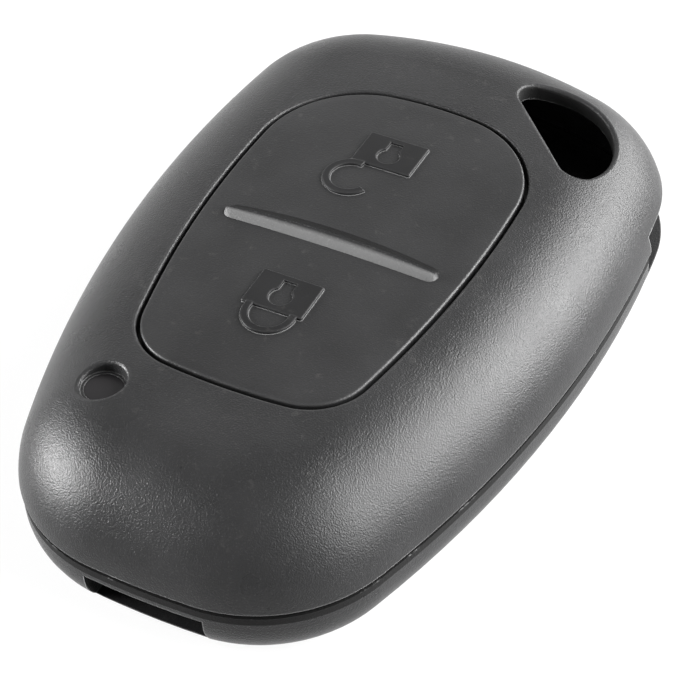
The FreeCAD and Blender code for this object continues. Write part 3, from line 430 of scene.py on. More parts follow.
def calc(operation, first, second=0.0, clamp=False):
    """Math node on two numbers or outputs, at least one of them an output."""
    tree = next(value.tree for value in (first, second) if isinstance(value, Output))
    return put(tree, "ShaderNodeMath", {0: first, 1: second}, operation=operation, use_clamp=clamp)[0]


def mix(factor, first, second):
    """Mix of two colours."""
    return put(factor.tree, "ShaderNodeMix", {0: factor, 6: first, 7: second}, data_type="RGBA")[2]


def ramp(value, *stops):
    """Colour ramp from pairs of place and grey."""
    made = put(value.tree, "ShaderNodeValToRGB", {"Fac": value})
    for element, (place, shade) in zip(made.node.color_ramp.elements, stops):
        element.position = place
        element.color = (shade, shade, shade, 1.0)
    return made["Color"]


def map_range(value, low, high, to_low=0.0, to_high=1.0, **settings):
    return put(value.tree, "ShaderNodeMapRange", {"Value": value, "From Min": low, "From Max": high,
                                                  "To Min": to_low, "To Max": to_high}, **settings)["Result"]


def split(vector):
    """X, Y and Z of a vector."""
    return put(vector.tree, "ShaderNodeSeparateXYZ", {0: vector})


def joined(x, y=0.0, z=0.0):
    """Vector whose X is an output."""
    return put(x.tree, "ShaderNodeCombineXYZ", {"X": x, "Y": y, "Z": z})[0]


def noise(place, per_metre, detail, roughness=0.5):
    return put(place.tree, "ShaderNodeTexNoise", {"Vector": place, "Scale": per_metre, "Detail": detail,
                                                  "Roughness": roughness})["Fac"]


def object_place(tree):
    return put(tree, "ShaderNodeTexCoord")["Object"]


def true_normal(tree):
    return put(tree, "ShaderNodeNewGeometry")["Normal"]


def declare(tree, side, label, kind="Float"):
    """Named input or output of a node group."""
    return tree.interface.new_socket(name=label, in_out=side, socket_type="NodeSocket" + kind)


# Shader groups

def moulded_grain(tree, given):
    """Grain moulded into plastic: fine pits for a bump, soft blotches and bright specks."""
    place = object_place(tree)
    fine = noise(place, given["Grain per metre"], 2.0, 0.6)
    cells = put(tree, "ShaderNodeTexVoronoi", {"Vector": place, "Scale": given["Grain per metre"]},
                feature="SMOOTH_F1")["Distance"]
    return {"Height": fine * 0.65 + cells * 0.5,
            "Blotches": noise(place, given["Blotches per metre"], 4.0),
            "Specks": ramp(fine, (0.58, 0.0), (0.72, 1.0))}


def edge_wear_and_highlight(tree, given):
    """Rubbed edges: where a rounded normal leaves the true one, broken up by noise; the unbroken edge also
    carries a painted highlight.
    """
    soft = put(tree, "ShaderNodeBevel", {"Radius": given["Edge width"]}, samples=2)["Normal"]
    along = put(tree, "ShaderNodeVectorMath", {0: soft, 1: true_normal(tree)}, operation="DOT_PRODUCT")
    edge = ramp(along["Value"], (0.80, 1.0), (0.985, 0.0))
    patches = noise(object_place(tree), given["Patches per metre"], 5.0, 0.65)
    low = 0.72 - given["Amount"] * 0.3
    return {"Edge": edge, "Mask": calc("MULTIPLY", edge, map_range(patches, low, low + 0.08), clamp=True)}


def fine_dust(tree, given):
    """Fine lint and dust that lies on faces that look up."""
    spots = noise(object_place(tree), given["Dust per metre"], 6.0, 0.7)
    mask = ramp(spots, (0.60, 0.0), (0.74, 1.0)) * given["Amount"]
    return {"Mask": calc("MULTIPLY", mask, split(true_normal(tree))["Z"], clamp=True)}


def seam_and_bore_shade(tree, given):
    """Masks of painted shade: a band along the seam between the halves, and the steep walls of the bore for
    the key ring.
    """
    coordinates = put(tree, "ShaderNodeTexCoord")
    place, lean = split(coordinates["Object"]), split(coordinates["Normal"])
    across, along = place["X"] - given["Bore across"], place["Y"] - given["Bore along"]
    around = calc("SQRT", across * across + along * along) < given["Bore radius"]
    return {"Seam": (place["Z"] > given["Seam low"]) * (place["Z"] < given["Seam high"]),
            "Wall": around * ramp(abs(lean["Z"]), (0.35, 1.0), (0.8, 0.0))}


GROUP_INPUTS = {
    moulded_grain: {"Grain per metre": 5900.0, "Blotches per metre": 160.0},
    edge_wear_and_highlight: {"Edge width": 0.0003, "Patches per metre": 420.0, "Amount": 0.5},
    fine_dust: {"Dust per metre": 900.0, "Amount": 0.3},
    seam_and_bore_shade: dict.fromkeys(("Seam low", "Seam high", "Bore across", "Bore along", "Bore radius"), 0.0),
}


def shader_group(build):
    """Shader node group of a builder, with its named inputs and what it returns as named outputs."""
    tree = bpy.data.node_groups.new(build.__name__, "ShaderNodeTree")
    for label, value in GROUP_INPUTS[build].items():
        declare(tree, "INPUT", label).default_value = value
    results = build(tree, Outputs(tree.nodes.new("NodeGroupInput")))
    for label in results:
        declare(tree, "OUTPUT", label)
    end = tree.nodes.new("NodeGroupOutput")
    for label, value in results.items():
        feed(value, end.inputs[label])
    return tree


def effect(tree, build, **values):
    """Places a shader group, made once; underscores stand for the spaces of its inputs' names."""
    node = tree.nodes.new("ShaderNodeGroup")
    node.node_tree = bpy.data.node_groups.get(build.__name__) or shader_group(build)
    for key, value in values.items():
        feed(value, node.inputs[key.replace("_", " ")])
    return Outputs(node)


def new_material(metallic=0.0, specular=0.5):
    made = bpy.data.materials.new("finish")
    made.use_nodes = True
    inputs = made.node_tree.nodes["Principled BSDF"].inputs
    feed(metallic, inputs["Metallic"])
    feed(specular, inputs["Specular IOR Level"])
    return made


def dress(made, base, rough, height, depth):
    """Feeds colour, roughness and a bump into a material and gives it back."""
    inputs = made.node_tree.nodes["Principled BSDF"].inputs
    feed(base, inputs["Base Color"])
    feed(rough, inputs["Roughness"])
    bump = put(made.node_tree, "ShaderNodeBump", {"Height": height, "Distance": depth, "Strength": 1.0})
    feed(bump["Normal"], inputs["Normal"])
    return made


def shaded(factor, colour, dark, light):
    """Mix of a darker and a lighter shade of a colour."""
    return mix(factor, tuple(dark * c for c in colour), tuple(light * c for c in colour))


def uneven(blotches, roughness):
    return ramp(blotches, (0.3, roughness - 0.05), (0.7, roughness + 0.06))


def plastic(colour, grain, roughness, depth, wear, specks, rim, rim_pale, joint=None, shine=1.0,
            near_pale=0.0, hollows=None):
    """Moulded plastic with a fine grain, blotches, rubbed edges with a painted highlight along them, a little
    dust and painted shade in its recesses.

    Along a joint, where two pieces of one surface meet, the edges get neither wear nor painted highlight.
    Painted side light lightens what faces the near end as painted light, and darkens the far side as painted
    shade.
    """
    finish = bpy.context.scene.fob_finish
    made = new_material(specular=finish.gloss * shine)
    tree = made.node_tree
    skin = effect(tree, moulded_grain, Grain_per_metre=1.0 / grain)
    rubbed = effect(tree, edge_wear_and_highlight, Amount=wear, Edge_width=rim)
    edge, flecks = rubbed["Edge"], rubbed["Mask"]
    if joint is not None:
        clear = abs(split(object_place(tree))["Y"] - joint) > 2.5 * rim
        edge, flecks = edge * clear, flecks * clear
    base = shaded(ramp(skin["Blotches"], (0.35, 0.0), (0.68, 1.0)), colour, 0.86, 1.16)
    base = mix(skin["Specks"] * specks, base, finish.pale_wear_and_light)
    base = mix(effect(tree, fine_dust)["Mask"] * 0.16, base, LINT)
    if near_pale:
        # Painted light in the pale colour on faces towards the near end, and painted shade on faces towards
        # the far end
        lean = split(true_normal(tree))["Y"]
        base = mix(ramp(lean * -1.0, (0.1, 0.0), (0.4, near_pale)), base, finish.pale_wear_and_light)
        base = mix(ramp(lean, (0.05, 0.0), (0.3, 0.85)), base, SHADE)
    rough = uneven(skin["Blotches"], roughness)
    if hollows:
        hollow = effect(tree, seam_and_bore_shade, **hollows)
        # No painted rim highlight inside the painted seam shade
        rim_pale = (1.0 - hollow["Seam"]) * rim_pale
        # Painted shade: near-black in the band along the seam and on the steep walls of the bore, which are
        # made rough too
        base = mix(hollow["Seam"], mix(hollow["Wall"], base, SHADE), PAINTED_SEAM_SHADE)
        rough = mix(calc("MAXIMUM", hollow["Seam"], hollow["Wall"]), rough, ROUGH_HOLLOW)
    # Wear flecks in the pale colour; along the whole rim the same colour is a painted highlight
    base = mix(flecks, mix(edge * rim_pale, base, finish.pale_wear_and_light), finish.pale_wear_and_light)
    rough = mix(edge * 0.5, rough, ROUGH_WORN)
    return dress(made, base, rough, skin["Height"], depth)


def cast(colour, roughness, per_metre=2600.0, depth=0.00001, specks=0.05):
    """Moulded, pressed or sintered stuff: one colour with a fine uneven surface and pale specks."""
    made = new_material()
    skin = effect(made.node_tree, moulded_grain, Grain_per_metre=per_metre)
    base = mix(skin["Specks"] * specks, shaded(skin["Blotches"], colour, 0.85, 1.12), PALE_SPECK)
    return dress(made, base, uneven(skin["Blotches"], roughness), skin["Height"], depth)


def metal(colour, roughness, scratches=3200.0, depth=0.000004):
    """Plated or drawn metal with fine scratches and a cloudy lustre."""
    made = new_material(metallic=1.0)
    place = object_place(made.node_tree)
    stretched = put(place.tree, "ShaderNodeMapping", {"Vector": place, "Scale": (1.0, 0.08, 1.0)})["Vector"]
    cloud = noise(place, 500.0, 4.0)
    rough = ramp(cloud, (0.3, roughness - 0.06), (0.75, roughness + 0.1))
    return dress(made, shaded(cloud, colour, 0.82, 1.0), rough, noise(stretched, scratches, 3.0), depth)


# Mesh helpers

def pad_outline(inset, pad, steps):
    """Points of the pad's outline, moved in by an inset: tangent arcs, from the near end's middle round."""
    side = Vector((pad.half_width - pad.side_radius, pad.widest_y))
    near = Vector((0.0, pad.near_radius - pad.near_y))
    far = Vector((0.0, pad.far_y - pad.far_radius))

    def corner(radius, end, end_radius):
        """Centre of a corner arc that touches the side from inside and the end from inside."""
        gap = end - side
        away, reach = pad.side_radius - radius, end_radius - radius
        along = (away ** 2 - reach ** 2 + gap.length_squared) / (2 * gap.length)
        rise = math.sqrt(away ** 2 - along ** 2)
        foot = side + gap.normalized() * along
        square = rise * gap.orthogonal().normalized()
        return max(foot + square, foot - square, key=lambda p: p.x)

    def bend(centre, point):
        return math.atan2(point.y - centre.y, point.x - centre.x)

    near_corner = corner(pad.near_corner, near, pad.near_radius)
    far_corner = corner(pad.far_corner, far, pad.far_radius)
    arcs = ((near, pad.near_radius), (near_corner, pad.near_corner), (side, pad.side_radius),
            (far_corner, pad.far_corner), (far, pad.far_radius))
    bends = (-math.pi / 2, bend(near, near_corner), bend(side, near_corner), bend(side, far_corner),
             bend(far, far_corner), math.pi / 2)
    half = []
    for (centre, radius), start, end in zip(arcs, bends, bends[1:]):
        for i in range(steps):
            a = start + (end - start) * i / steps
            half.append(centre + (radius - inset) * Vector((math.cos(a), math.sin(a))))
    return half + [(0.0, pad.far_y - inset)] + [(-x, y) for x, y in reversed(half[1:])]


def skin_between(bm, lower, upper):
    """Quads between two loops of equally many vertices."""
    count = len(lower)
    for i in range(count):
        j = (i + 1) % count
        bm.faces.new((lower[i], lower[j], upper[j], upper[i]))


def skin_all(bm, loops):
    for lower, upper in zip(loops, loops[1:]):
        skin_between(bm, lower, upper)


def close_fan(bm, loop, point):
    tip = bm.verts.new(point)
    for i in range(len(loop)):
        bm.faces.new((loop[i], loop[(i + 1) % len(loop)], tip))


def tint(bm, start, index):
    """Gives the faces made since a count of faces a place in the material list."""
    for face in list(bm.faces)[start:]:
        face.material_index = index


def profile(name, low, high=0.0, radius=None):
    """Pairs of inset, or of radius where an outer one is given, and height."""
    rise, fall = PROFILES[name]
    pairs = [(inset * MM, low + up * MM) for inset, up in rise]
    pairs += [(inset * MM, high - down * MM) for inset, down in fall]
    return pairs if radius is None else [(radius - inset, z) for inset, z in pairs]


def lathe(bm, centre, pairs, segments, index=0, ring=False):
    """Solid of revolution about Z from pairs of radius and height; a ring joins its last pair to its first.
    """
    start = len(bm.faces)
    x, y = centre
    turns = [math.tau * i / segments for i in range(segments)]
    loops = [[bm.verts.new((x + radius * math.cos(a), y + radius * math.sin(a), z)) for a in turns]
             for radius, z in pairs]
    skin_all(bm, loops)
    if ring:
        skin_between(bm, loops[-1], loops[0])
    else:
        close_fan(bm, loops[0], (x, y, pairs[0][1]))
        close_fan(bm, loops[-1], (x, y, pairs[-1][1]))
    tint(bm, start, index)


def arc_points(x, y, radius, start, end, count):
    """Points along an arc between two angles in degrees."""
    angles = [math.radians(start + (end - start) * i / count) for i in range(count + 1)]
    return [(x + radius * math.cos(a), y + radius * math.sin(a)) for a in angles]


def rounded(low, high, radius, inset=0.0, steps=None):
    """Points of a rectangle with rounded corners in plan, moved in; small corners get fewer points."""
    r = max(radius - inset, LEAST_CORNER)
    steps = steps or (SMALL_CORNER_STEPS if radius < SMALL_CORNER else CORNER_STEPS)
    near_x, near_y = low[0] + inset + r, low[1] + inset + r
    far_x, far_y = high[0] - inset - r, high[1] - inset - r
    corners = ((far_x, near_y, -90), (far_x, far_y, 0), (near_x, far_y, 90), (near_x, near_y, 180))
    return [point for x, y, start in corners for point in arc_points(x, y, r, start, start + 90, steps)]


def loft(bm, low, high, radius, levels, index=0):
    """Solid over a rounded rectangle; each level gives its inset and its height, from the bottom up."""
    start = len(bm.faces)
    loops = [[bm.verts.new((x, y, z)) for x, y in rounded(low, high, radius, inset)] for inset, z in levels]
    skin_all(bm, loops)
    bm.faces.new(list(reversed(loops[0])))
    bm.faces.new(loops[-1])
    tint(bm, start, index)


def brick(bm, low, high, edge, index=0):
    """Block between two corners with its corners and its upper and lower edges broken."""
    levels = [(edge, low[2]), (0.0, low[2] + edge), (0.0, high[2] - edge), (edge, high[2])]
    loft(bm, low, high, edge * 1.5, levels, index)


def ribbon(bm, path, axis, along, across, index=0):
    """Strip along a path in one plane, with one size along the plane's axis and one across the path."""
    start = len(bm.faces)
    points, axis = [Vector(p) for p in path], Vector(axis)
    stations = []
    for i, point in enumerate(points):
        before = (point - points[i - 1]).normalized() if i else (points[1] - point).normalized()
        after = (points[i + 1] - point).normalized() if i + 1 < len(points) else before
        heading = (before + after).normalized()
        side = axis.cross(heading) * (across / 2 / max(heading.dot(before), 0.3))
        stations.append([bm.verts.new(point + side * a + axis * (along / 2 * b))
                         for a, b in ((-1, -1), (1, -1), (1, 1), (-1, 1))])
    skin_all(bm, stations)
    bm.faces.new(stations[0])
    bm.faces.new(list(reversed(stations[-1])))
    tint(bm, start, index)


def evaluated_mesh(obj):
    return bpy.data.meshes.new_from_object(obj.evaluated_get(bpy.context.evaluated_depsgraph_get()))


def filled_plate(bm, loops, low, high, bevel, index, ground=lambda x, y: 0.0):
    """Plate with bevelled edges from an outer loop of points and its holes, laid over a ground height."""
    curve = bpy.data.curves.new("plate", "CURVE")
    curve.dimensions = "2D"
    curve.fill_mode = "BOTH"
    curve.extrude = (high - low) / 2 - bevel
    curve.bevel_depth = bevel
    curve.bevel_resolution = 2
    curve.offset = -bevel
    for loop in loops:
        spline = curve.splines.new("POLY")
        spline.points.add(len(loop) - 1)
        for point, (x, y) in zip(spline.points, loop):
            point.co = (x, y, 0.0, 1.0)
        spline.use_cyclic_u = True
    obj = new_object("plate", curve)
    mesh = evaluated_mesh(obj)
    for v in mesh.vertices:
        v.co.z += (high + low) / 2 + ground(v.co.x, v.co.y)
    bpy.data.objects.remove(obj)
    absorb(bm, mesh, index)


def absorb(bm, mesh, index):
    """Takes a mesh into a bmesh, with a place in the material list, and removes it."""
    for polygon in mesh.polygons:
        polygon.material_index = index
    bm.from_mesh(mesh)
    bpy.data.meshes.remove(mesh)


def piece(bm, name, node, slot, finishes, *replaced):
    """Turns a bmesh into a finished piece that rides on a node's body."""
    obj = new_object(name, mesh_from(bm, name))
    paint(obj, *(material(finish) for finish in finishes))
    settle(obj, node, slot, *replaced)


# Geometry nodes

def geo(tree, kind, values=None, **settings):
    """Adds a geometry node and gives its first output."""
    return put(tree, "GeometryNode" + kind, values, **settings)[0]


def geometry_tree(name, inputs):
    """Geometry node tree with a geometry input and output and named inputs; None makes a material input."""
    tree = bpy.data.node_groups.new(name, "GeometryNodeTree")
    declare(tree, "INPUT", "Geometry", "Geometry")
    for label, value in inputs.items():
        socket = declare(tree, "INPUT", label, {int: "Int", float: "Float"}.get(type(value), "Material"))
        if value is not None:
            socket.default_value = value
    declare(tree, "OUTPUT", "Geometry", "Geometry")
    return tree, Outputs(tree.nodes.new("NodeGroupInput"))


def end_tree(geometry, finish):
    """Closes a tree with Realize Instances and Set Material and gives it back."""
    tree = geometry.tree
    real = geo(tree, "RealizeInstances", {"Geometry": geometry})
    soft = geo(tree, "SetShadeSmooth", {"Geometry": real})
    done = geo(tree, "SetMaterial", {"Geometry": soft, "Material": finish})
    feed(done, tree.nodes.new("NodeGroupOutput").inputs[0])
    return tree


def moved(points, **change):
    """Set Position node; gives the geometry."""
    return geo(points.tree, "SetPosition", {"Geometry": points, **change})


def swept(line, section):
    return geo(line.tree, "CurveToMesh", {"Curve": line, "Profile Curve": section, "Fill Caps": True})


def grow(name, mesh, tree, **values):
    """Runs a geometry node tree on a mesh and returns an object that holds the plain result."""
    obj = new_object(name, mesh)
    modifier = obj.modifiers.new("Build", "NODES")
    modifier.node_group = tree
    for item in tree.interface.items_tree:
        key = item.name.replace(" ", "_")
        if item.in_out == "INPUT" and key in values:
            modifier[item.identifier] = values[key]
    bpy.context.view_layer.update()
    result = evaluated_mesh(obj)
    obj.modifiers.clear()
    obj.data = result
    result.name = name
    smooth(result, 40.0)
    return obj


def even_row():
    """Copies of the input mesh in an even row, each a little off its place, as placed parts are."""
    tree, given = geometry_tree("even_row", {"Count": 2, "Step across": 0.0, "Step along": 0.0, "Jitter": 0.0,
                                             "Seed": 3, "Material": None})
    step = joined(given["Step across"], given["Step along"])
    line = geo(tree, "MeshLine", {"Count": given["Count"], "Offset": step})
    play = joined(given["Jitter"], given["Jitter"])
    back = put(tree, "ShaderNodeVectorMath", {0: play, "Scale": -1.0}, operation="SCALE")[0]
    off = put(tree, "FunctionNodeRandomValue", {0: back, 1: play, "Seed": given["Seed"]},
              data_type="FLOAT_VECTOR")[0]
    line = moved(line, Offset=off)
    copies = geo(tree, "InstanceOnPoints", {"Points": line, "Instance": given["Geometry"]})
    return end_tree(copies, given["Material"])


def row(bm, seed, index, finish, **values):
    """Repeats a seed bmesh in an even row and takes the result into a bmesh."""
    tree = bpy.data.node_groups.get("even_row") or even_row()
    obj = grow("row", mesh_from(seed, "row"), tree, Material=material(finish), **values)
    mesh = obj.data
    bpy.data.objects.remove(obj)
    absorb(bm, mesh, index)


def wound_coil():
    """Wire wound in a helix with a rounded square section along X."""
    tree, given = geometry_tree("wound_coil", {
        "Turns": 20, "Wire": 0.0002, "Low": 0.0, "High": 0.006, "Along": 0.0, "Up": 0.0, "Reach along": 0.001,
        "Reach up": 0.001, "Steps": 28, "Material": None})

    def squared(value, power_of=0.42):
        """Sine or cosine pushed out towards a square by a power under one."""
        return calc("SIGN", value) * abs(value) ** power_of

    line = geo(tree, "CurvePrimitiveLine")
    line = geo(tree, "ResampleCurve", {"Curve": line, "Count": given["Turns"] * given["Steps"]})
    share = put(tree, "GeometryNodeSplineParameter")["Factor"]
    angle = share * given["Turns"] * math.tau
    x = given["Low"] + share * (given["High"] - given["Low"])
    y = given["Along"] + given["Reach along"] * squared(calc("COSINE", angle))
    z = given["Up"] + given["Reach up"] * squared(calc("SINE", angle))
    section = geo(tree, "CurvePrimitiveCircle", {"Resolution": 10, "Radius": given["Wire"] * 0.5})
    return end_tree(swept(moved(line, Position=joined(x, y, z)), section), given["Material"])


def divider_bar():
    """Bar swept along its length: a domed section whose width, place and ends follow the outline's rule."""
    tree, given = geometry_tree("divider_bar", {
        "Length": 0.0183, "Width": 0.0019, "Bow": 0.0005, "Height": 0.0005, "Near edge": 0.0, "Ridge": -0.1,
        "Crown across": 0.171, "Crown along": 0.497, "Crown top": 0.01455, "Edge depth": 0.00003,
        "Steps": 100, "Around": 32, "Material": None})

    def position():
        return split(geo(tree, "InputPosition"))

    def store(line, label, value):
        """Keeps a value on the points, to be read after the sweep."""
        return geo(tree, "StoreNamedAttribute", {"Geometry": line, "Name": label, "Value": value},
                   data_type="FLOAT", domain="POINT")

    def stored(label):
        return geo(tree, "InputNamedAttribute", {"Name": label}, data_type="FLOAT")

    half = given["Length"] * 0.5
    line = geo(tree, "CurvePrimitiveLine", {"Start": joined(half * -1.0), "End": joined(half)})
    line = geo(tree, "ResampleCurve", {"Curve": line, "Count": given["Steps"]})
    x = position()["X"]
    # Rounded ends: the section shrinks along a quarter circle as wide as the bar's end
    end_width = given["Width"] - given["Bow"]
    end_radius = end_width * 0.5
    past = calc("MAXIMUM", abs(x) - (half - end_radius), 0.0)
    left = calc("MAXIMUM", end_radius * end_radius - past * past, 1e-12)
    share = x / half
    line = store(line, "half_width", (end_width + given["Bow"] * (1.0 - share * share)) * 0.5)
    line = store(line, "shrink", calc("SQRT", left) / end_radius)
    ring = geo(tree, "CurvePrimitiveCircle", {"Resolution": given["Around"], "Radius": 1.0})
    tube = swept(line, ring)
    place, half_width, shrink = position(), stored("half_width"), stored("shrink")
    y = given["Near edge"] + half_width + place["Y"] * (half_width * shrink)
    # Steep rounded side towards the near end, soft hollow side towards the far end; both sink to the ends
    steep, taper, above = 0.8, 0.7, -0.01
    near = calc("SINE", map_range(place["Y"], -1.0, given["Ridge"], 0.0, math.pi / 2)) ** steep
    far = map_range(place["Y"], given["Ridge"], 1.0, 1.0, 0.0, interpolation_type="SMOOTHSTEP")
    dome = calc("MINIMUM", near, far) * (place["Z"] > above)
    sunk = calc("MINIMUM", place["Z"], 0.0) * given["Height"]
    lift = dome * given["Height"] * shrink ** taper + sunk - given["Edge depth"]
    across = given["Crown across"]
    fall = across - calc("SQRT", across * across - place["X"] * place["X"])
    drop = y * y / (given["Crown along"] * 2.0)
    spot = joined(place["X"], y, given["Crown top"] - fall - drop + lift)
    return end_tree(moved(tube, Position=spot), given["Material"])


# Finishes of this fob

def case_plastic():
    finish = bpy.context.scene.fob_finish
    bore = Vector(next(m["pos_m"] for m in frame["record"]["mounts"] if m["name"] == "key_ring_hole"))
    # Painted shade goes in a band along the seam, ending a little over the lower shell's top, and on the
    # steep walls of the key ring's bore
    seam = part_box("lower_shell")[1].z + finish.seam_rise - finish.seam
    hollows = {"Seam_low": seam, "Seam_high": seam + finish.seam, "Bore_across": bore.x, "Bore_along": bore.y,
               "Bore_radius": finish.bore}
    return plastic(finish.case, finish.grain, roughness=0.3, depth=0.05 * MM, wear=0.5, specks=0.06,
                   rim=0.14 * MM, rim_pale=0.6, hollows=hollows)


def bar_plastic():
    finish = bpy.context.scene.fob_finish
    return plastic(finish.bar, finish.grain * 1.3, roughness=0.36, depth=0.04 * MM, wear=0.3, specks=0.12,
                   rim=0.15 * MM, rim_pale=0.05, shine=0.3, near_pale=0.36)


def pad_plastic():
    finish = bpy.context.scene.fob_finish
    return plastic(finish.pad, finish.grain, roughness=0.35, depth=0.028 * MM, wear=0.25, specks=0.03,
                   rim=0.15 * MM, rim_pale=0.9, joint=pad_split())


def symbol_plastic():
    finish = bpy.context.scene.fob_finish
    return plastic(tuple(0.75 * c for c in finish.pad), finish.grain, roughness=0.42, depth=0.01 * MM,
                   wear=0.3, specks=0.0, rim=0.09 * MM, rim_pale=0.3, shine=0.5)


def smoked_lens():
    made = new_material(specular=0.2)
    skin = effect(made.node_tree, moulded_grain, Grain_per_metre=2500.0)
    base = mix(skin["Blotches"], (0.008, 0.0075, 0.008), (0.014, 0.013, 0.014))
    return dress(made, base, 0.3, skin["Height"], 0.003 * MM)


def board_laminate():
    """Green lacquer over a glass weave; the cut edges show the bare laminate."""
    made = new_material()
    place = object_place(made.node_tree)
    weave = put(place.tree, "ShaderNodeTexChecker", {"Vector": place, "Scale": 2600.0})["Fac"]
    pool = noise(place, 260.0, 4.0)
    lacquer = shaded(pool, bpy.context.scene.fob_finish.mask, 0.8, 1.35)
    lacquer = mix(weave * 0.12, lacquer, (0.05, 0.16, 0.06))
    edge = mix(pool, (0.36, 0.33, 0.18), (0.46, 0.42, 0.26))
    flat = ramp(abs(split(true_normal(place.tree))["Z"]), (0.5, 0.0), (0.7, 1.0))
    return dress(made, mix(flat, edge, lacquer), 0.3, weave, 0.004 * MM)


def masked_copper():
    """Copper seen through the green lacquer."""
    mask = bpy.context.scene.fob_finish.mask
    return cast((mask[0] * 2.2, mask[1] * 1.7, mask[2] * 1.8), 0.28, specks=0.0)


def copper_wire():
    made = metal((0.72, 0.32, 0.14), 0.24)
    feed(0.6, made.node_tree.nodes["Principled BSDF"].inputs["Coat Weight"])
    return made


FINISHES = {
    "case_plastic": case_plastic,
    "bar_plastic": bar_plastic,
    "pad_plastic": pad_plastic,
    "symbol_plastic": symbol_plastic,
    "smoked_lens": smoked_lens,
    "board_laminate": board_laminate,
    "spring_steel": lambda: metal(bpy.context.scene.fob_finish.steel, 0.28),
    "gold_plate": lambda: metal(bpy.context.scene.fob_finish.gold, 0.25, depth=0.002 * MM),
    "solder": lambda: metal((0.66, 0.66, 0.68), 0.2, 900.0, 0.01 * MM),
    "masked_copper": masked_copper,
    "copper_wire": copper_wire,
}


def material(name):
    """A finish of the fob, made when it is first asked for."""
    label = "fob_" + name
    made = bpy.data.materials.get(label)
    if made is None:
        made = FINISHES[name]() if name in FINISHES else cast(*CASTS[name])
        made.name = label
    return made


# Pieces

def pad_split():
    """Where along the fob the pad parts into its halves."""
    return (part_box("unlock_button")[0].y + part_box("lock_button")[1].y) / 2


class FOB_OT_case(bpy.types.Operator):
    """Gives both case halves their grained plastic"""
    bl_idname = "fob.case"
    bl_label = "Case"

    def execute(self, context):
        paint_nodes("case_plastic", "upper_shell", "lower_shell")
        return {"FINISHED"}


def pad_plate(pad, steps=26, rim_steps=5, rings=22):
    """The whole button pad as one closed plate with a flange, a rounded rim and a crowned top."""
    bm = bmesh.new()
    flange_top = pad.roof - pad.flange_gap
    plate_low = flange_top - pad.flange_thick

    def ring(inset, height, share=1.0):
        points = [(x * share, y * share) for x, y in pad_outline(inset, pad, steps)]
        return [bm.verts.new((x, y, height(x, y))) for x, y in points]

    loops = [ring(-pad.flange, lambda x, y: plate_low), ring(-pad.flange, lambda x, y: flange_top),
             ring(pad.clearance, lambda x, y: flange_top)]
    for i in range(rim_steps + 1):
        a = math.pi / 2 * i / rim_steps
        loops.append(ring(pad.clearance + pad.rim_round * (1 - math.cos(a)),
                          lambda x, y: crown(x, y) - pad.rim_round * (1 - math.sin(a))))
    for i in range(1, rings):
        loops.append(ring(pad.clearance + pad.rim_round, crown, 1.0 - i / rings))
    skin_all(bm, loops)
    close_fan(bm, loops[-1], (0.0, 0.0, crown(0.0, 0.0)))
    close_fan(bm, loops[0], (0.0, 0.0, plate_low))
    return bm


def padlock(bm, symbol, y, is_open):
    """Adds a raised padlock: its body with a keyhole, and its shackle towards the near end."""
    x, half, deep = symbol.x, symbol.width / 2, symbol.depth / 2
    body = rounded((x - half, y - deep), (x + half, y + deep), symbol.corner, steps=4)
    hole_y, slot = y - symbol.keyhole_shift, symbol.keyhole_slot / 2
    swing = math.degrees(math.asin(slot / symbol.keyhole_radius))
    keyhole = arc_points(x, hole_y, symbol.keyhole_radius, 90 + swing, 450 - swing, 28)
    keyhole += [(x + slot, hole_y + symbol.keyhole_length), (x - slot, hole_y + symbol.keyhole_length)]
    outer, inner = symbol.shackle_radius, symbol.shackle_radius - symbol.shackle_thick
    if is_open:
        cx, cy = x - half + symbol.shackle_shift, y - deep - symbol.shackle_drop
        start, end = 80, 330
        shackle = arc_points(cx, cy, outer, start, end, 48) + arc_points(cx, cy, inner, end, start, 48)
    else:
        cy, inside = y - deep - symbol.shackle_leg, y - deep + symbol.bevel * 2
        shackle = [(x - outer, inside), *arc_points(x, cy, outer, 180, 360, 40), (x + outer, inside),
                   (x + inner, inside), *arc_points(x, cy, inner, 360, 180, 40), (x - inner, inside)]
    for loops in ([body, keyhole], [shackle]):
        filled_plate(bm, loops, -symbol.height, symbol.height, symbol.bevel, 1, crown)


class FOB_OT_button_pad(bpy.types.Operator):
    """Builds both halves of the pad, parted along the bar, with their padlocks and posts"""
    bl_idname = "fob.button_pad"
    bl_label = "Button Pad"

    def execute(self, context):
        pad, symbol = context.scene.fob_pad, context.scene.fob_symbol
        split_y = pad_split()
        soft = pad.rim_round / 2
        for side, away, y in (("unlock", 1, symbol.unlock_y), ("lock", -1, symbol.lock_y)):
            name, node = f"{side}_pad", f"{side}_button"
            bm = pad_plate(pad)
            cut = bmesh.ops.bisect_plane(bm, geom=bm.verts[:] + bm.edges[:] + bm.faces[:], dist=CUT_TOLERANCE,
                                         plane_co=(0, split_y, 0), plane_no=(0, -away, 0), clear_outer=True)
            rim = [e for e in cut["geom_cut"] if isinstance(e, bmesh.types.BMEdge)]
            bmesh.ops.contextual_create(bm, geom=rim)
            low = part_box(node)[0].z
            plunger_low, plunger_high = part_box(f"{side}_plunger")
            post = [(pad.post_radius - soft, low), (pad.post_radius, low + soft), (pad.post_radius, pad.roof)]
            lathe(bm, ((plunger_low + plunger_high) / 2).xy, post, 48)
            padlock(bm, symbol, y, side == "unlock")
            obj = new_object(name, mesh_from(bm, name))
            paint(obj, material("pad_plastic"), material("symbol_plastic"))
            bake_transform(obj)
            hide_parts(node)
        return {"FINISHED"}


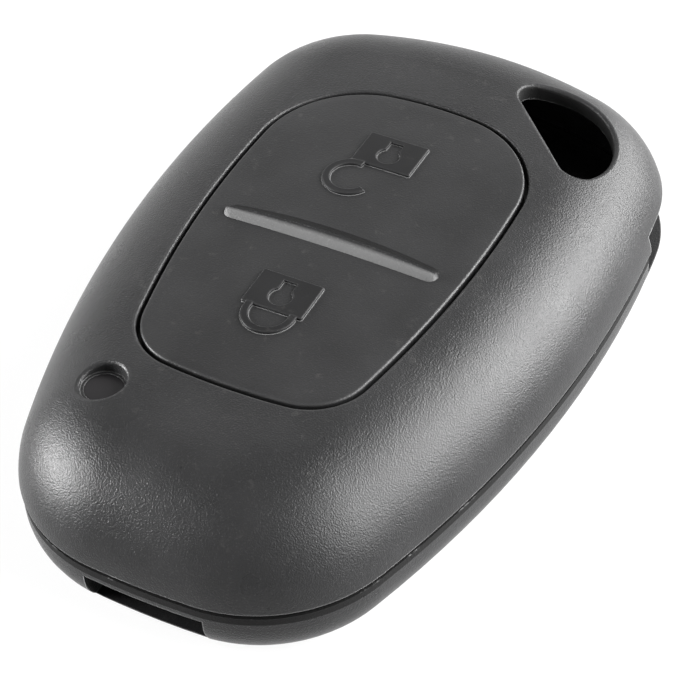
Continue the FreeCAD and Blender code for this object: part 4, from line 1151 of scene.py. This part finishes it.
class FOB_OT_divider_bar(bpy.types.Operator):
    """Grows the raised bar between the buttons by its rule"""
    bl_idname = "fob.divider_bar"
    bl_label = "Divider Bar"

    def execute(self, context):
        pad, bar = context.scene.fob_pad, context.scene.fob_bar
        obj = grow("divider_bar", bpy.data.meshes.new("divider_bar"), divider_bar(), Length=bar.length,
                   Width=bar.width, Bow=bar.bow, Height=bar.height, Near_edge=bar.near, Ridge=bar.ridge,
                   Crown_across=pad.crown_across, Crown_along=pad.crown_along, Crown_top=pad.crown_top,
                   Steps=bar.steps, Around=bar.around, Material=material("bar_plastic"))
        settle(obj, "pad_bridge", "pad_plastic", "pad_bridge")
        return {"FINISHED"}


def end_caps(bm, low, high, edge, index, flat=0.36 * MM):
    """Tinned ends of a chip part, each in a small fillet of solder."""
    for left, right in ((low.x, low.x + flat), (high.x - flat, high.x)):
        brick(bm, (left, low.y, low.z), (right, high.y, high.z), edge, index)
        loft(bm, (left, low.y), (right, high.y), edge, profile("fillet", low.z), index)


class FOB_OT_indicator(bpy.types.Operator):
    """Finishes the smoked light pipe and builds the indicator under it"""
    bl_idname = "fob.indicator"
    bl_label = "Indicator"

    def execute(self, context):
        edge = context.scene.fob_board.edge
        paint_nodes("smoked_lens", "led_lens")
        low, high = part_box("status_led")
        side, step, overlap = 0.25 * MM, 0.1 * MM, 0.05 * MM
        rim = (low.z + high.z) / 2
        bm = bmesh.new()
        brick(bm, (low.x + side, low.y, low.z), (high.x - side, high.y, rim), edge)
        end_caps(bm, low, Vector((high.x, high.y, rim - step)), edge, 1)
        radius = (high.y - low.y) / 2 - 0.08 * MM
        dome = [(radius * x, rim - overlap + (high.z - rim) * z) for x, z in arc_points(0, 0, 1, 0, 80, 8)]
        lathe(bm, ((low + high) / 2).xy, [(radius, rim - step)] + dome, 32, 2)
        piece(bm, "indicator_lamp", "status_led", "led_body", ("led_body", "solder", "led_cap"), "status_led")
        return {"FINISHED"}


class FOB_OT_board(bpy.types.Operator):
    """Finishes the circuit board and lays its tracks, plated rings and test pads"""
    bl_idname = "fob.board"
    bl_label = "Circuit Board"

    def execute(self, context):
        board = context.scene.fob_board
        paint_nodes("board_laminate", "circuit_board")
        top, up = BOARD_TOP + board.copper / 2, (0, 0, 1)
        low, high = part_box("controller_chip")
        lock_y, unlock_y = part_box("lock_switch")[1].y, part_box("unlock_switch")[0].y
        pitch = (high.x - low.x) / board.lead_count
        bm = bmesh.new()
        # Tracks leave the controller straight, fan out at staggered places and end short of the switches
        first, stagger, fan_least, fan_share, stop = 1.0 * MM, 0.45 * MM, 0.4 * MM, 0.35, 0.5 * MM
        for i in range(board.lead_count):
            x = low.x + pitch * (i + 0.5)
            away = x - (low.x + high.x) / 2
            fan = fan_least + fan_share * abs(away)
            out = x + math.copysign(fan, away)
            for start, end, sign in ((low.y, lock_y, -1), (high.y, unlock_y, 1)):
                reach = start + sign * (first + stagger * (i % 3))
                ribbon(bm, [(x, start, top), (x, reach, top), (out, reach + fan, top),
                            (out, end - sign * stop, top)], up, board.copper, board.track)
        parts_low, parts_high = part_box("capacitors")
        middle, pitch = 0.4 * MM, 2.4 * MM
        for i in range(board.capacitor_count):
            x, y = parts_high.x, parts_low.y + middle + pitch * i
            ribbon(bm, [(x + out * MM, y + side * MM, top) for out, side in CAPACITOR_TRACK], up,
                   board.copper, board.track)
        piece(bm, "board_tracks", "circuit_board", "board_laminate", ("masked_copper",))

        bm = bmesh.new()
        plated = BOARD_TOP + board.copper
        for x, y, step, count, seed in VIA_ROWS:
            ring = bmesh.new()
            inner, outer = board.via_hole, board.via
            section = [(inner, BOARD_TOP), (outer, BOARD_TOP), (outer, plated), (inner, plated)]
            lathe(ring, (x * MM, y * MM), section, 20, ring=True)
            row(bm, ring, 0, "gold_plate", Count=count, Step_along=step * MM, Jitter=board.play, Seed=seed)
        pad = bmesh.new()
        lathe(pad, (-4.5 * MM, -24.0 * MM), profile("test_pad", BOARD_TOP, plated, 0.75 * MM), 28)
        row(bm, pad, 0, "gold_plate", Count=6, Step_across=2.0 * MM)
        piece(bm, "plated_pads", "circuit_board", "board_laminate", ("gold_plate",))
        return {"FINISHED"}


class FOB_OT_switches(bpy.types.Operator):
    """Builds both switches: base with legs, cover with heat stakes, and plunger"""
    bl_idname = "fob.switches"
    bl_label = "Switches"

    def execute(self, context):
        paint_nodes("spring_steel", "unlock_dome", "lock_dome")
        for side in ("unlock", "lock"):
            low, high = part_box(f"{side}_switch")
            middle = (low + high) / 2
            self.base(context.scene.fob_board, side, low, high, middle.y)
            self.cover(context.scene.fob_board, side, middle.xy)
            low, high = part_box(f"{side}_plunger")
            bm = bmesh.new()
            lathe(bm, middle.xy, profile("plunger", low.z, high.z, (high.x - low.x) / 2), 48)
            piece(bm, f"{side}_button_plunger", f"{side}_plunger", "plunger_plastic", ("plunger_plastic",),
                  f"{side}_plunger")
        return {"FINISHED"}

    def base(self, board, side, low, high, middle_y):
        step, width, knee, foot = 4.0 * MM, 0.7 * MM, low.z + 1.0 * MM, low.z + board.lead_thick / 2
        path = ((-0.3 * MM, knee), (0.25 * MM, knee), (0.45 * MM, foot), (board.leg_reach, foot))
        bm = bmesh.new()
        loft(bm, low, high, 0.25 * MM, profile("switch_base", low.z, high.z))
        for sign, x in ((-1, low.x), (1, high.x)):
            leg = bmesh.new()
            ribbon(leg, [(x + sign * out, middle_y - step / 2, z) for out, z in path], (0, 1, 0), width,
                   board.lead_thick)
            row(bm, leg, 1, "solder", Count=2, Step_along=step)
        piece(bm, f"{side}_switch_base", f"{side}_switch", "switch_plastic", ("switch_plastic", "solder"),
              f"{side}_switch")

    def cover(self, board, side, middle):
        low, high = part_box(f"{side}_switch_cover")
        plunger_low, plunger_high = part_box(f"{side}_plunger")
        bore = (plunger_high.x - plunger_low.x) / 2 + 0.12 * MM
        corner, stake_x = 0.3 * MM, 2.35 * MM
        bm = bmesh.new()
        hole = arc_points(*middle, bore, 0, 360, 48)[:-1]
        filled_plate(bm, [rounded(low, high, corner), hole], low.z, high.z, board.edge, 0)
        for sign in (-1, 1):
            stake = bmesh.new()
            lathe(stake, (middle.x + sign * stake_x, middle.y - stake_x),
                  [(board.stake, high.z - 0.05 * MM), (board.stake, high.z + 0.04 * MM),
                   (0.6 * board.stake, high.z + 0.12 * MM)], 20)
            row(bm, stake, 1, "switch_plastic", Count=2, Step_along=2 * stake_x)
        piece(bm, f"{side}_switch_lid", f"{side}_switch_cover", "spring_steel",
              ("spring_steel", "switch_plastic"), f"{side}_switch_cover")


class FOB_OT_power(bpy.types.Operator):
    """Builds the coin cell and finishes its two contacts"""
    bl_idname = "fob.power"
    bl_label = "Cell and Contacts"

    def execute(self, context):
        paint_nodes("spring_steel", "negative_contact", "positive_contact")
        low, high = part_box("coin_cell")
        middle, radius = ((low + high) / 2).xy, (high.x - low.x) / 2
        bm = bmesh.new()
        for name in ("cell_can", "cell_seal", "cell_cap"):
            seal = name == "cell_seal"
            lathe(bm, middle, profile(name, low.z, high.z, radius), 128, int(seal), ring=seal)
        piece(bm, "button_cell", "coin_cell", "spring_steel", ("spring_steel", "switch_plastic"), "coin_cell")
        return {"FINISHED"}


class FOB_OT_chips(bpy.types.Operator):
    """Builds the controller, transmitter, crystal, resonator and small chip parts"""
    bl_idname = "fob.chips"
    bl_label = "Chips"

    def execute(self, context):
        board = context.scene.fob_board
        self.controller(board)
        self.transmitter()
        low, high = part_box("crystal")
        bm = bmesh.new()
        loft(bm, low, high, (high.x - low.x) / 2, profile("crystal", low.z, high.z))
        piece(bm, "crystal_can", "crystal", "spring_steel", ("spring_steel",), "crystal")
        self.resonator(board)
        self.small_parts("capacitors", "capacitor_row", board.capacitor_count, "ceramic_tan", board, 21)
        self.small_parts("resistors", "resistor_row", board.resistor_count, "ceramic_black", board, 22)
        return {"FINISHED"}

    def controller(self, board):
        low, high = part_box("controller_chip")
        corner, mark = 0.12 * MM, 0.75 * MM
        near, far = low.y + board.lead_reach, high.y - board.lead_reach
        waist, foot = (low.z + high.z) / 2, low.z + board.lead_thick / 2 + board.copper
        path = ((-0.15 * MM, waist), (0.16 * MM, waist), (0.3 * MM, foot), (board.lead_reach, foot))
        bm = bmesh.new()
        foot_level, *top_levels = profile("controller", low.z, high.z)
        loft(bm, (low.x, near), (high.x, far), corner, [foot_level, (0.0, waist), *top_levels])
        lathe(bm, (low.x + mark, near + mark), profile("pin_mark", low.z, high.z, 0.24 * MM), 24, 2)
        pitch = (high.x - low.x) / board.lead_count
        for edge, sign in ((near, -1), (far, 1)):
            lead = bmesh.new()
            ribbon(lead, [(low.x + pitch / 2, edge + sign * out, z) for out, z in path], (1, 0, 0),
                   board.lead_width, board.lead_thick)
            row(bm, lead, 1, "solder", Count=board.lead_count, Step_across=pitch)
        piece(bm, "controller", "controller_chip", "chip_epoxy", ("chip_epoxy", "solder", "ceramic_cream"),
              "controller_chip")

    def transmitter(self):
        low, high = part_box("transmitter_chip")
        count, corner, inset, wide, deep, thick = 5, 0.1 * MM, 0.55 * MM, 0.3, 0.35, 0.22
        step = (high.x - low.x - 1.4 * MM) / (count - 1)
        bm = bmesh.new()
        loft(bm, low, high, corner, profile("transmitter", low.z, high.z))
        for x, y, across, along in ((low.x, low.y, 1, 0), (low.x, high.y - deep * MM, 1, 0),
                                    (low.x, low.y, 0, 1), (high.x - deep * MM, low.y, 0, 1)):
            start = Vector((x, y, low.z)) + Vector((across, along, 0)) * inset
            size = Vector((wide * across + deep * along, wide * along + deep * across, thick)) * MM
            pad = bmesh.new()
            brick(pad, start, start + size, PAD_EDGE)
            row(bm, pad, 1, "solder", Count=count, Step_across=step * across, Step_along=step * along)
        piece(bm, "transmitter", "transmitter_chip", "chip_epoxy", ("chip_epoxy", "solder"),
              "transmitter_chip")

    def resonator(self, board):
        low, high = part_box("resonator")
        half = (low.z + high.z) / 2
        out, wide, deep, tall, step, corner = 0.5 * MM, 0.6 * MM, 0.22 * MM, 0.5 * MM, 1.1 * MM, 0.7 * MM
        bm = bmesh.new()
        brick(bm, low, (high.x, high.y, half), board.edge)
        loft(bm, low, high, corner, profile("resonator_lid", half, high.z), 1)
        for y in (low.y - 0.02 * MM, high.y - 0.2 * MM):
            pad = bmesh.new()
            brick(pad, (low.x + out, y, low.z), (low.x + out + wide, y + deep, low.z + tall), PAD_EDGE)
            row(bm, pad, 2, "gold_plate", Count=3, Step_across=step)
        piece(bm, "resonator_can", "resonator", "ceramic", ("ceramic_cream", "spring_steel", "gold_plate"),
              "resonator")

    def small_parts(self, node, name, count, finish, board, seed):
        low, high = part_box(node)
        size = Vector((high.x - low.x, 0.8 * MM, high.z - low.z))
        inset = Vector((0.3, 0.02, 0.02)) * MM
        step = (high.y - low.y - size.y) / (count - 1)
        body, ends = bmesh.new(), bmesh.new()
        brick(body, low + inset, low + size - inset, board.edge / 2)
        end_caps(ends, low, low + size, board.edge, 0)
        bm = bmesh.new()
        for index, (seed_mesh, stuff) in enumerate(((body, finish), (ends, "solder"))):
            row(bm, seed_mesh, index, stuff, Count=count, Step_along=step, Jitter=board.play, Seed=seed)
        piece(bm, name, node, "ceramic", (finish, "solder"), node)


class FOB_OT_antenna(bpy.types.Operator):
    """Winds the antenna coil on its ferrite core and builds the transponder"""
    bl_idname = "fob.antenna"
    bl_label = "Antenna"

    def execute(self, context):
        board = context.scene.fob_board
        low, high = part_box("ferrite_core")
        coil_low, coil_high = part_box("antenna_winding")
        bm = bmesh.new()
        for left, right in ((low.x, coil_low.x), (coil_high.x, high.x)):
            brick(bm, (left, low.y, low.z), (right, high.y, high.z), 2 * board.edge)
        inset = Vector((-0.1 * MM, board.core_inset, board.core_inset))
        core_low, core_high = Vector((coil_low.x, low.y, low.z)), Vector((coil_high.x, high.y, high.z))
        brick(bm, core_low + inset, core_high - inset, board.edge)
        half, out, thick = 0.45 * MM, 0.25 * MM, 0.12 * MM
        for x in ((low.x + coil_low.x) / 2, (high.x + coil_high.x) / 2):
            brick(bm, (x - half, low.y - out, low.z), (x + half, high.y + out, low.z + thick),
                  board.edge / 2, 1)
        piece(bm, "ferrite_bobbin", "ferrite_core", "ferrite", ("ferrite", "solder"), "ferrite_core")

        middle, reach, wire = (coil_low + coil_high) / 2, (coil_high - coil_low) / 2, board.wire
        obj = grow("antenna_coil", bpy.data.meshes.new("antenna_coil"), wound_coil(), Turns=board.coil_turns,
                   Wire=wire, Low=coil_low.x + wire / 2, High=coil_high.x - wire / 2, Along=middle.y,
                   Up=middle.z, Reach_along=reach.y - wire / 2, Reach_up=reach.z - wire / 2,
                   Material=material("copper_wire"))
        settle(obj, "antenna_winding", "copper_wire", "antenna_winding")

        low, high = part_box("transponder_chip")
        bm = bmesh.new()
        loft(bm, low, high, 0.8 * MM, profile("transponder", low.z, high.z))
        piece(bm, "transponder", "transponder_chip", "ferrite", ("chip_epoxy",), "transponder_chip")
        return {"FINISHED"}


def softbox(name, around, above, watts):
    """Area light that looks at the fob from an angle round it, counted from +X, and one above the floor."""
    lamp = bpy.data.lights.new(name, "AREA")
    lamp.shape = "SQUARE"
    lamp.size = SOFTBOX_SIZE
    lamp.energy = watts
    obj = new_object(name, lamp)
    around, above = math.radians(around), math.radians(above)
    away = Vector((math.cos(above) * math.cos(around), math.cos(above) * math.sin(around), math.sin(above)))
    obj.location = away * SOFTBOX_DISTANCE
    obj.rotation_euler = (-away).to_track_quat("-Z", "Y").to_euler()


def whiten(shade, kind, end, share):
    """Mixes plain white over a shader for what camera, gloss and glass see of it; the rest keeps its shade.
    """
    path = put(shade.tree, "ShaderNodeLightPath")
    bounced = calc("MAXIMUM", path["Is Glossy Ray"], path["Is Transmission Ray"])
    seen = calc("MAXIMUM", path["Is Camera Ray"], bounced)
    white = put(shade.tree, kind, {"Color": WHITE, "Strength": 1.0})[0]
    both = put(shade.tree, "ShaderNodeMixShader", {0: seen * share, 1: shade, 2: white})[0]
    feed(both, end.inputs["Surface"])


class FOB_OT_stage(bpy.types.Operator):
    """Sets the pale floor, the soft light and the camera"""
    bl_idname = "fob.stage"
    bl_label = "Stage"

    def execute(self, context):
        scene, studio = context.scene, context.scene.fob_studio
        self.floor()
        world = bpy.data.worlds.new("studio")
        scene.world = world
        world.use_nodes = True
        room = world.node_tree.nodes["Background"]
        feed(WHITE, room.inputs["Color"])
        feed(studio.ambient, room.inputs["Strength"])
        whiten(Outputs(room)[0], "ShaderNodeBackground", world.node_tree.nodes["World Output"], 1.0)
        for name, (around, above, source, share) in SOFTBOXES.items():
            softbox(name, around, above, share * getattr(studio, source))
        scene.camera = self.camera(studio)
        scene.view_settings.view_transform = "Standard"
        return {"FINISHED"}

    def floor(self):
        bm = bmesh.new()
        bmesh.ops.create_circle(bm, cap_ends=True, segments=96, radius=FLOOR_RADIUS)
        floor = new_object("floor", mesh_from(bm, "floor"))
        floor.location.z = CAD_LOW.z - FLOOR_GAP
        pale = new_material()
        pale.name = "pale_floor"
        tree = pale.node_tree
        shader = tree.nodes["Principled BSDF"]
        cloud = put(tree, "ShaderNodeTexNoise", {"Scale": 40.0, "Detail": 3.0})["Fac"]
        feed(mix(cloud, *FLOOR_TONES), shader.inputs["Base Color"])
        feed(0.9, shader.inputs["Roughness"])
        whiten(Outputs(shader)[0], "ShaderNodeEmission", tree.nodes["Material Output"], FLOOR_WHITE)
        paint(floor, pale)

    def camera(self, studio):
        az, el, roll = studio.azimuth, studio.elevation, studio.roll
        back = Vector((math.sin(az) * math.cos(el), -math.cos(az) * math.cos(el), math.sin(el)))
        level = Vector((math.cos(az), math.sin(az), 0.0))
        upright = back.cross(level)
        right = level * math.cos(roll) + upright * math.sin(roll)
        up = upright * math.cos(roll) - level * math.sin(roll)
        camera = bpy.data.cameras.new("camera")
        camera.sensor_width = SENSOR
        camera.lens = studio.pixels * studio.distance / MM * SENSOR / PHOTO_SIDE
        camera.clip_start, camera.clip_end = 0.01, 10.0
        obj = new_object("camera", camera)
        spot = back * studio.distance + right * studio.shift_right + up * studio.shift_up
        obj.matrix_world = Matrix.Translation(spot) @ Matrix((right, up, back)).transposed().to_4x4()
        return obj


OPERATORS = (FOB_OT_case, FOB_OT_button_pad, FOB_OT_divider_bar, FOB_OT_indicator, FOB_OT_board,
             FOB_OT_switches, FOB_OT_power, FOB_OT_chips, FOB_OT_antenna, FOB_OT_stage)
GROUPS = {"fob_pad": FobPadSizes, "fob_symbol": FobSymbolSizes, "fob_bar": FobBarSizes,
          "fob_board": FobBoardSizes, "fob_finish": FobFinish, "fob_studio": FobStudio}


class FOB_PT_sidebar(bpy.types.Panel):
    """Lists the pieces of the key fob and their sizes"""
    bl_label = "Key Fob"
    bl_idname = "FOB_PT_sidebar"
    bl_space_type = "VIEW_3D"
    bl_region_type = "UI"
    bl_category = "Key Fob"

    def draw(self, context):
        for operator in OPERATORS:
            self.layout.operator(operator.bl_idname)
        for group in GROUPS:
            settings = getattr(context.scene, group)
            box = self.layout.box()
            box.label(text=type(settings).__doc__)
            for name in settings.__annotations__:
                box.prop(settings, name)


CLASSES = (*GROUPS.values(), *OPERATORS, FOB_PT_sidebar)


def register():
    for made in CLASSES:
        bpy.utils.register_class(made)
    for name, group in GROUPS.items():
        setattr(bpy.types.Scene, name, PointerProperty(type=group))


def unregister():
    for name in GROUPS:
        delattr(bpy.types.Scene, name)
    for made in reversed(CLASSES):
        bpy.utils.unregister_class(made)


def main():
    register()
    for operator in OPERATORS:
        group, name = operator.bl_idname.split(".")
        getattr(getattr(bpy.ops, group), name)()


if __name__ == "__main__":
    main()
